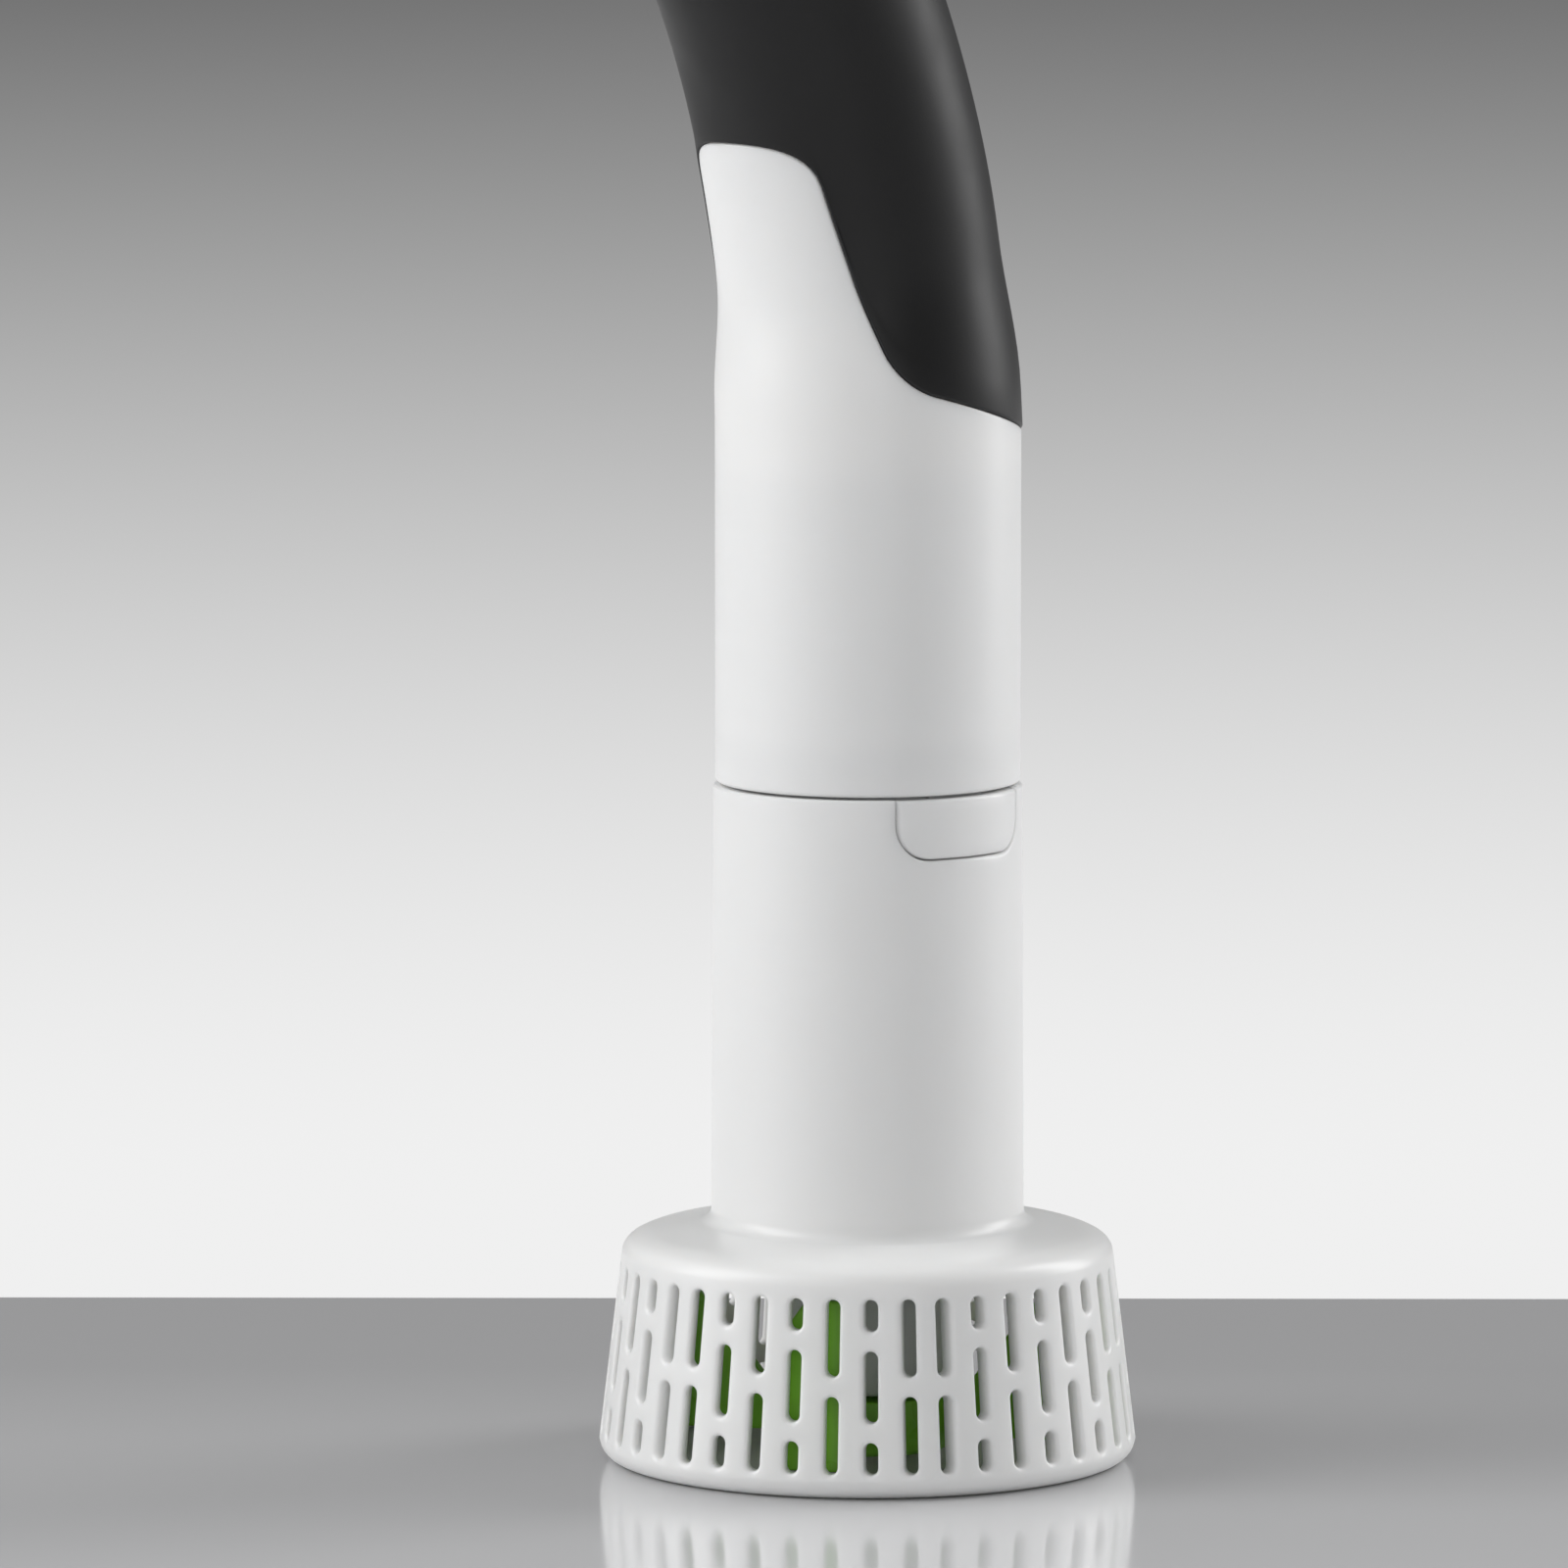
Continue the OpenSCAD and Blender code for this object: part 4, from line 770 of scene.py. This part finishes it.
def end_cap_shell():
    """Cap of the handle: a revolved cup, rounded by an arc, with twelve air slots round the cord's bush."""
    cells, across, rows, part = 12, 8, 12, 2
    low_r, high_r, slot_r, slot_l, slot_w = 8.6, 15.4, 12.0, 4.0, 1.6
    columns = around(cells * across)
    side_r, inner_r, roll = GRIP_R - 0.1, CORE_IN_R, 0.3

    def height(r, inside):
        """Height of the cap's top over a distance from the middle: flat, then the corner's circle."""
        outside = CAP_H, side_r, CAP_ROUND
        top, edge, corner = (CAP_H - CAP_WALL, inner_r, CAP_ROUND - 2) if inside else outside
        over = np.maximum(r - (edge - corner), 0)
        return top - corner + np.sqrt(corner ** 2 - over ** 2)

    shell = Shell()
    radii = np.linspace(low_r, high_r, rows + 1)
    wedge = np.linspace(-math.pi / cells, math.pi / cells, across + 1)
    edge = block_border(wedge, radii)
    border = joined(edge[:, 1] * np.sin(edge[:, 0]), edge[:, 1] * np.cos(edge[:, 0]))

    def slot(grow):
        """An air slot's outline, grown outwards."""
        return frame_loop(slot_w, slot_l, 0.5, across, rows, part, grow) + [0, slot_r]

    steps = [(border * (1 - t) + slot(roll) * t, 0.0, False) for t in (0, 0.5)]
    steps += [(slot(back), sunk, False) for back, sunk in edge_roll(roll, 4)]
    steps += [(slot(0), 0.0, True), (border, 0.0, True)]
    patch = np.array([joined(*loop.T, height(np.hypot(*loop.T), inside) - sunk)
                      for loop, sunk, inside in steps])
    for k in range(cells):
        turn = FRONT - math.pi / 2 + (k + 0.5) * 2 * math.pi / cells
        shell.grid(on_handle(swung(*np.moveaxis(patch, -1, 0), turn), BEND_END))
    bore = CORD_R + 2.4
    hole = np.array([(low_r, CAP_H - CAP_WALL), (bore, CAP_H - CAP_WALL), (bore, CAP_H - roll),
                     (bore + roll, CAP_H), (low_r, CAP_H)])
    crowded = 1 - np.sin(quarter(8))
    outer_r = np.r_[np.linspace(high_r, side_r - 3, 8), side_r - 3 * crowded[1:]]
    outer = joined(outer_r, height(outer_r, False))
    cup_r = inner_r - 4 * crowded
    cup = joined(cup_r, height(cup_r, True))[::-1]
    wall = np.concatenate([outer, [(side_r, 0.4), (side_r - 0.3, 0.1), (inner_r, 0.1)], cup,
                           [(high_r, height(np.array(high_r), True))]])
    for profile in (hole, wall):
        shell.grid(on_handle(turned(profile, columns), BEND_END))
    return shell.build("end_cap_shell")


def inlet_bush():
    """The cord's soft bush: a revolved sleeve with a flange on both sides of the cap."""
    flange, body = CORD_R + 4.4, CORD_R + 2.3
    low, neck_low, neck_top, top = CAP_H - 5, CAP_H - 3.1, CAP_H + 0.05, CAP_H + 3.05
    profile = rounded([
        (CORD_R, low, 0.4), (flange, low, 0.4), (flange, neck_low, 0.3), (body, neck_low, 0),
        (body, neck_top, 0), (flange, neck_top, 0.3), (flange - 1, top, 1.2), (CORD_R, top, 0.9)], 6)
    sleeve = on_handle(turned(profile, around(72)), BEND_END)
    return Shell().grid(sleeve, close_rows=True).build("inlet_bush_shell")


# ---------------------------------------- shader groups

def node(tree, kind, inputs=None, **settings):
    """Adds a shader node; inputs are values or the sockets that feed them."""
    made = tree.nodes.new("ShaderNode" + kind)
    for key, value in settings.items():
        setattr(made, key, value)
    for key, value in (inputs or {}).items():
        if isinstance(value, bpy.types.NodeSocket):
            tree.links.new(value, made.inputs[key])
        else:
            made.inputs[key].default_value = value
    return made


def new_group(name, inputs, outputs):
    """An empty shader group: inputs and outputs map socket names to types and defaults."""
    group = bpy.data.node_groups.new(name, "ShaderNodeTree")
    for key, (kind, value) in inputs.items():
        made = group.interface.new_socket(key, in_out="INPUT", socket_type="NodeSocket" + kind)
        made.default_value = value
    for key, kind in outputs.items():
        group.interface.new_socket(key, in_out="OUTPUT", socket_type="NodeSocket" + kind)
    return group, group.nodes.new("NodeGroupInput"), group.nodes.new("NodeGroupOutput")


def noise(tree, scale, detail=2.0, roughness=0.5):
    """Noise on Object coordinates; scale is in features per metre."""
    place = node(tree, "TexCoord")
    return node(tree, "TexNoise", {
        "Vector": place.outputs["Object"], "Scale": scale, "Detail": detail, "Roughness": roughness})


def make_skin_group():
    """Moulded skin: a fine grain over a slow unevenness, as a height from 0 to 1."""
    group, given, out = new_group(
        "moulded skin", {"Grain Scale": ("Float", 2500.0), "Slow Scale": ("Float", 60.0),
                         "Slow Share": ("Float", 0.3)}, {"Height": "Float"})
    fine = noise(group, given.outputs["Grain Scale"], 3.0)
    slow = noise(group, given.outputs["Slow Scale"], 1.0)
    both = node(group, "Mix", {
        0: given.outputs["Slow Share"], 2: fine.outputs["Fac"], 3: slow.outputs["Fac"]}, data_type="FLOAT")
    group.links.new(both.outputs[0], out.inputs["Height"])
    return group


def make_tone_group():
    """Tone: the colour, darkened a little where slow noise is low."""
    group, given, out = new_group(
        "tone", {"Color": ("Color", (1, 1, 1, 1)), "Low": ("Float", 0.95), "Scale": ("Float", 25.0)},
        {"Color": "Color"})
    field = noise(group, given.outputs["Scale"], 3.0, 0.6)
    level = node(group, "MapRange", {
        "Value": field.outputs["Fac"], "From Min": 0.3, "From Max": 0.7, "To Min": given.outputs["Low"]})
    tinted = node(group, "VectorMath", {
        0: given.outputs["Color"], 3: level.outputs["Result"]}, operation="SCALE")
    group.links.new(tinted.outputs[0], out.inputs["Color"])
    return group


def make_handling_group():
    """Handling: roughness from low to high, in soft patches with a few finer streaks."""
    group, given, out = new_group(
        "handling", {"Low": ("Float", 0.3), "High": ("Float", 0.4), "Scale": ("Float", 30.0)},
        {"Roughness": "Float"})
    patches = noise(group, given.outputs["Scale"], 4.0, 0.55)
    rough = node(group, "MapRange", {
        "Value": patches.outputs["Fac"], "From Min": 0.32, "From Max": 0.68,
        "To Min": given.outputs["Low"], "To Max": given.outputs["High"]}, interpolation_type="SMOOTHSTEP")
    group.links.new(rough.outputs["Result"], out.inputs["Roughness"])
    return group


SKIN, TONE, HANDLING = make_skin_group(), make_tone_group(), make_handling_group()


def grouped(tree, group, **inputs):
    """A group's node in a material; input names have spaces for underscores."""
    made = node(tree, "Group", node_tree=group)
    for key, value in inputs.items():
        made.inputs[key.replace("_", " ").title()].default_value = value
    return made


def finish_material(name, color, rough, low=0.95, tone_scale=25.0, patch_scale=30.0, grain=2500.0,
                    slow=60.0, slow_share=0.3, bump=0.1, depth=0.00005, **shader):
    """A material with drifting tone, handled roughness and a moulded skin; shader sets plain sockets."""
    made = bpy.data.materials.new(name)
    made.use_nodes = True
    tree = made.node_tree
    principled = tree.nodes["Principled BSDF"]
    tone = grouped(tree, TONE, color=(*color, 1), low=low, scale=tone_scale)
    handled = grouped(tree, HANDLING, low=rough[0], high=rough[1], scale=patch_scale)
    skin = grouped(tree, SKIN, grain_scale=grain, slow_scale=slow, slow_share=slow_share)
    raised = node(tree, "Bump", {
        "Strength": bump, "Distance": depth, "Height": skin.outputs["Height"]})
    tree.links.new(tone.outputs["Color"], principled.inputs["Base Color"])
    tree.links.new(handled.outputs["Roughness"], principled.inputs["Roughness"])
    tree.links.new(raised.outputs["Normal"], principled.inputs["Normal"])
    for key, value in shader.items():
        principled.inputs[key.replace("_", " ")].default_value = value
    return made


def wound_material():
    """Enamelled copper windings: fine bands round the drive axis, raised in the bump only."""
    made = finish_material("windings", (0.45, 0.17, 0.06), (0.25, 0.4), low=0.7, tone_scale=300, Metallic=0.8)
    tree = made.node_tree
    place = node(tree, "TexCoord")
    bands = node(tree, "TexWave", {
        "Vector": place.outputs["Object"], "Scale": 700.0, "Distortion": 0.4}, bands_direction="Z")
    raised = node(tree, "Bump", {
        "Strength": 0.5, "Distance": 0.0002, "Height": bands.outputs["Fac"]})
    tree.links.new(raised.outputs["Normal"], tree.nodes["Principled BSDF"].inputs["Normal"])
    return made


def make_finishes():
    """One material for each of the record's slots, by its name, from its colour, roughness and the rest."""
    looks = {
        "white_plastic": ((0.80, 0.80, 0.795), (0.30, 0.36), dict(
            low=0.985, grain=2600, bump=0.12, depth=0.00004, slow=45, slow_share=0.35, IOR=1.5,
            Subsurface_Weight=0.6, Subsurface_Radius=(1.0, 0.95, 0.9), Subsurface_Scale=0.005)),
        "soft_grip": ((0.009, 0.009, 0.0095), (0.42, 0.56), dict(
            low=0.9, tone_scale=18, patch_scale=22, grain=3200, bump=0.25, depth=0.00006,
            Specular_IOR_Level=0.35)),
        "green_plastic": ((0.27, 0.66, 0.05), (0.24, 0.33), dict(
            low=0.96, grain=2200, bump=0.1, depth=0.00004, IOR=1.5)),
        "dark_plastic": ((0.028, 0.028, 0.030), (0.38, 0.50), dict(
            low=0.9, grain=1900, bump=0.35, depth=0.00008)),
        "black_rubber": ((0.018, 0.018, 0.019), (0.55, 0.7), dict(
            low=0.85, grain=3000, bump=0.3, depth=0.00006)),
        "grey_plastic": ((0.36, 0.37, 0.38), (0.36, 0.46), dict(
            low=0.95, grain=2200, bump=0.2, depth=0.00005)),
        "steel": ((0.60, 0.61, 0.63), (0.20, 0.36), dict(
            low=0.9, tone_scale=200, patch_scale=240, grain=4000, bump=0.15, depth=0.00003, Metallic=1.0)),
        "brass": ((0.72, 0.50, 0.20), (0.24, 0.38), dict(
            low=0.85, tone_scale=160, patch_scale=200, grain=3500, bump=0.15, depth=0.00003, Metallic=1.0)),
        "ferrite": ((0.045, 0.045, 0.050), (0.5, 0.65), dict(
            low=0.7, tone_scale=500, grain=2500, bump=0.5, depth=0.0001)),
        "circuit_board": ((0.03, 0.16, 0.06), (0.22, 0.34), dict(
            low=0.7, tone_scale=400, grain=1200, bump=0.3, depth=0.00005, Coat_Weight=0.4)),
        "film_yellow": ((0.60, 0.44, 0.06), (0.2, 0.3), dict(
            low=0.9, tone_scale=90, grain=1500, bump=0.2, depth=0.00005)),
    }
    made = {name: finish_material(name, color, rough, **rest) for name, (color, rough, rest) in looks.items()}
    made["windings"] = wound_material()
    return made


# ---------------------------------------- assembly

FINISHES = make_finishes()


def fit(piece, slot, body, *replaced):
    """Gives a piece its finish, its body and the CAD nodes that it stands for."""
    piece.data.materials.append(FINISHES[slot])
    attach(piece, body)
    if replaced:
        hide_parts(*replaced)
    return piece


def dress_nodes():
    """Every CAD node takes the material of its slot in the record."""
    for part in frame["record"]["subparts"]:
        shown = frame["nodes"][part["node"]]
        shown.data.materials.clear()
        shown.data.materials.append(FINISHES[part["material_slot"]])


dress_nodes()
fit(foot_shell(), "white_plastic", "foot", "masher_foot")
fit(foot_collar(), "white_plastic", "foot")
fit(release_latch(1), "white_plastic", "latch_right", "release_latch_right")
fit(release_latch(-1), "white_plastic", "latch_left", "release_latch_left")
fit(rotor_shell(), "green_plastic", "rotor", "masher_rotor")
fit(housing_shell(), "white_plastic", "motor_unit", "motor_housing")
fit(grip_shell(), "soft_grip", "motor_unit", "grip_sleeve")
fit(trigger_pad(), "green_plastic", "trigger", "trigger_button")
fit(end_cap_shell(), "dark_plastic", "motor_unit", "end_cap")
fit(inlet_bush(), "black_rubber", "motor_unit", "cord_inlet_bush")


# ---------------------------------------- floor, light and camera

CAMERA_ROUND = math.radians(48)


def table_material():
    """A pale top, glossy round the object and satin further off."""
    gloss, satin, near, far = 0.12, 0.65, 0.3, 0.8
    made = finish_material("table_top", (0.66, 0.66, 0.67), (gloss, gloss), low=1.0, tone_scale=3, grain=400,
                           bump=0.0)
    tree = made.node_tree
    place = node(tree, "TexCoord")
    away = node(tree, "VectorMath", {"Vector": place.outputs["Object"]}, operation="LENGTH")
    worn = node(tree, "MapRange", {
        "Value": away.outputs["Value"], "From Min": near, "From Max": far, "To Min": gloss, "To Max": satin},
        interpolation_type="SMOOTHSTEP")
    tree.links.new(worn.outputs["Result"], tree.nodes["Principled BSDF"].inputs["Roughness"])
    return made


def make_floor():
    """A wide pale glossy table, square to the view, whose far edge lies a little way behind the object.

    The slab is a rounded rectangle drawn in to its middle, with a rolled rim: the rim's rows follow a
    quarter circle in depth and in reach.
    """
    width, depth, corner, rim, thick, behind, under = 2600, 1500, 40, 3, 30, 171, 0.05

    def loop(share, drop, inward):
        """The slab's outline, set in, shrunk to a share of its size and lowered."""
        flat = frame_loop(width, depth, corner, 20, 20, 6, -inward) * share
        return swung(flat[:, 0], flat[:, 1] + behind - depth / 2, -under - drop, CAMERA_ROUND)

    rows = [loop(share, 0, rim) for share in (0, 0.5, 1)]
    rows += [loop(1, sunk, back) for back, sunk in edge_roll(rim, 5)[1:]]
    rows += [loop(share, thick, 0) for share in (1, 0.5, 0)]
    table = Shell().grid(np.array(rows)).build("table")
    table.data.materials.append(table_material())


def make_world():
    """A soft even light; to the camera, in reflections and through clear pieces, a grey paler low down."""
    world = bpy.data.worlds.new("studio")
    bpy.context.scene.world = world
    world.use_nodes = True
    tree = world.node_tree
    tree.nodes.clear()
    place = node(tree, "TexCoord")
    height = node(tree, "SeparateXYZ", {0: place.outputs["Generated"]})
    shade = node(tree, "MapRange", {
        "Value": height.outputs["Z"], "From Min": -0.152, "From Max": -0.027, "To Min": 0.87, "To Max": 0.07},
        interpolation_type="SMOOTHSTEP")
    seen = node(tree, "Background", {"Color": shade.outputs["Result"], "Strength": 1.0})
    lighting = node(tree, "Background", {"Color": (1, 1, 1, 1), "Strength": 0.58})
    path = node(tree, "LightPath")
    direct = node(tree, "Math", {
        0: path.outputs["Is Camera Ray"], 1: path.outputs["Is Glossy Ray"]}, operation="MAXIMUM")
    either = node(tree, "Math", {
        0: direct.outputs[0], 1: path.outputs["Is Transmission Ray"]}, operation="MAXIMUM")
    mixed = node(tree, "MixShader", {
        0: either.outputs[0], 1: lighting.outputs[0], 2: seen.outputs[0]})
    out = node(tree, "OutputWorld")
    tree.links.new(mixed.outputs[0], out.inputs["Surface"])


def area_light(name, azimuth, elevation, distance, size, power):
    """A soft rectangular lamp that faces the middle of the object."""
    a, e = math.radians(azimuth), math.radians(elevation)
    lamp = bpy.data.lights.new(name, "AREA")
    lamp.shape, lamp.size, lamp.size_y, lamp.energy = "RECTANGLE", size[0], size[1], power
    holder = new_object(name, lamp)
    away = np.array([math.sin(a) * math.cos(e), -math.cos(a) * math.cos(e), math.sin(e)])
    holder.location = away * distance + [0, 0, 0.15]
    holder.rotation_euler = (math.pi / 2 - e, 0, a)


def make_camera():
    """A long lens a little above the table, about halfway between the object's front and its right side."""
    distance, height, aim, down = 2.1023, 0.3673, 48.389, 6.823
    camera = bpy.data.cameras.new("view")
    camera.lens, camera.sensor_width, camera.clip_end = 285.5, 36.0, 60.0
    holder = new_object("view", camera)
    holder.location = (distance * math.sin(CAMERA_ROUND), -distance * math.cos(CAMERA_ROUND), height)
    holder.rotation_euler = (math.radians(90 - down), 0, math.radians(aim))
    bpy.context.scene.camera = holder


make_floor()
make_world()
area_light("key", -34, 28, 1.6, (1.0, 1.5), 17)
area_light("rim", 160, 22, 1.6, (0.7, 1.4), 14)
area_light("fill", 58, 6, 2.6, (1.0, 0.4), 4.5)
make_camera()
bpy.context.scene.view_settings.view_transform = "Standard"
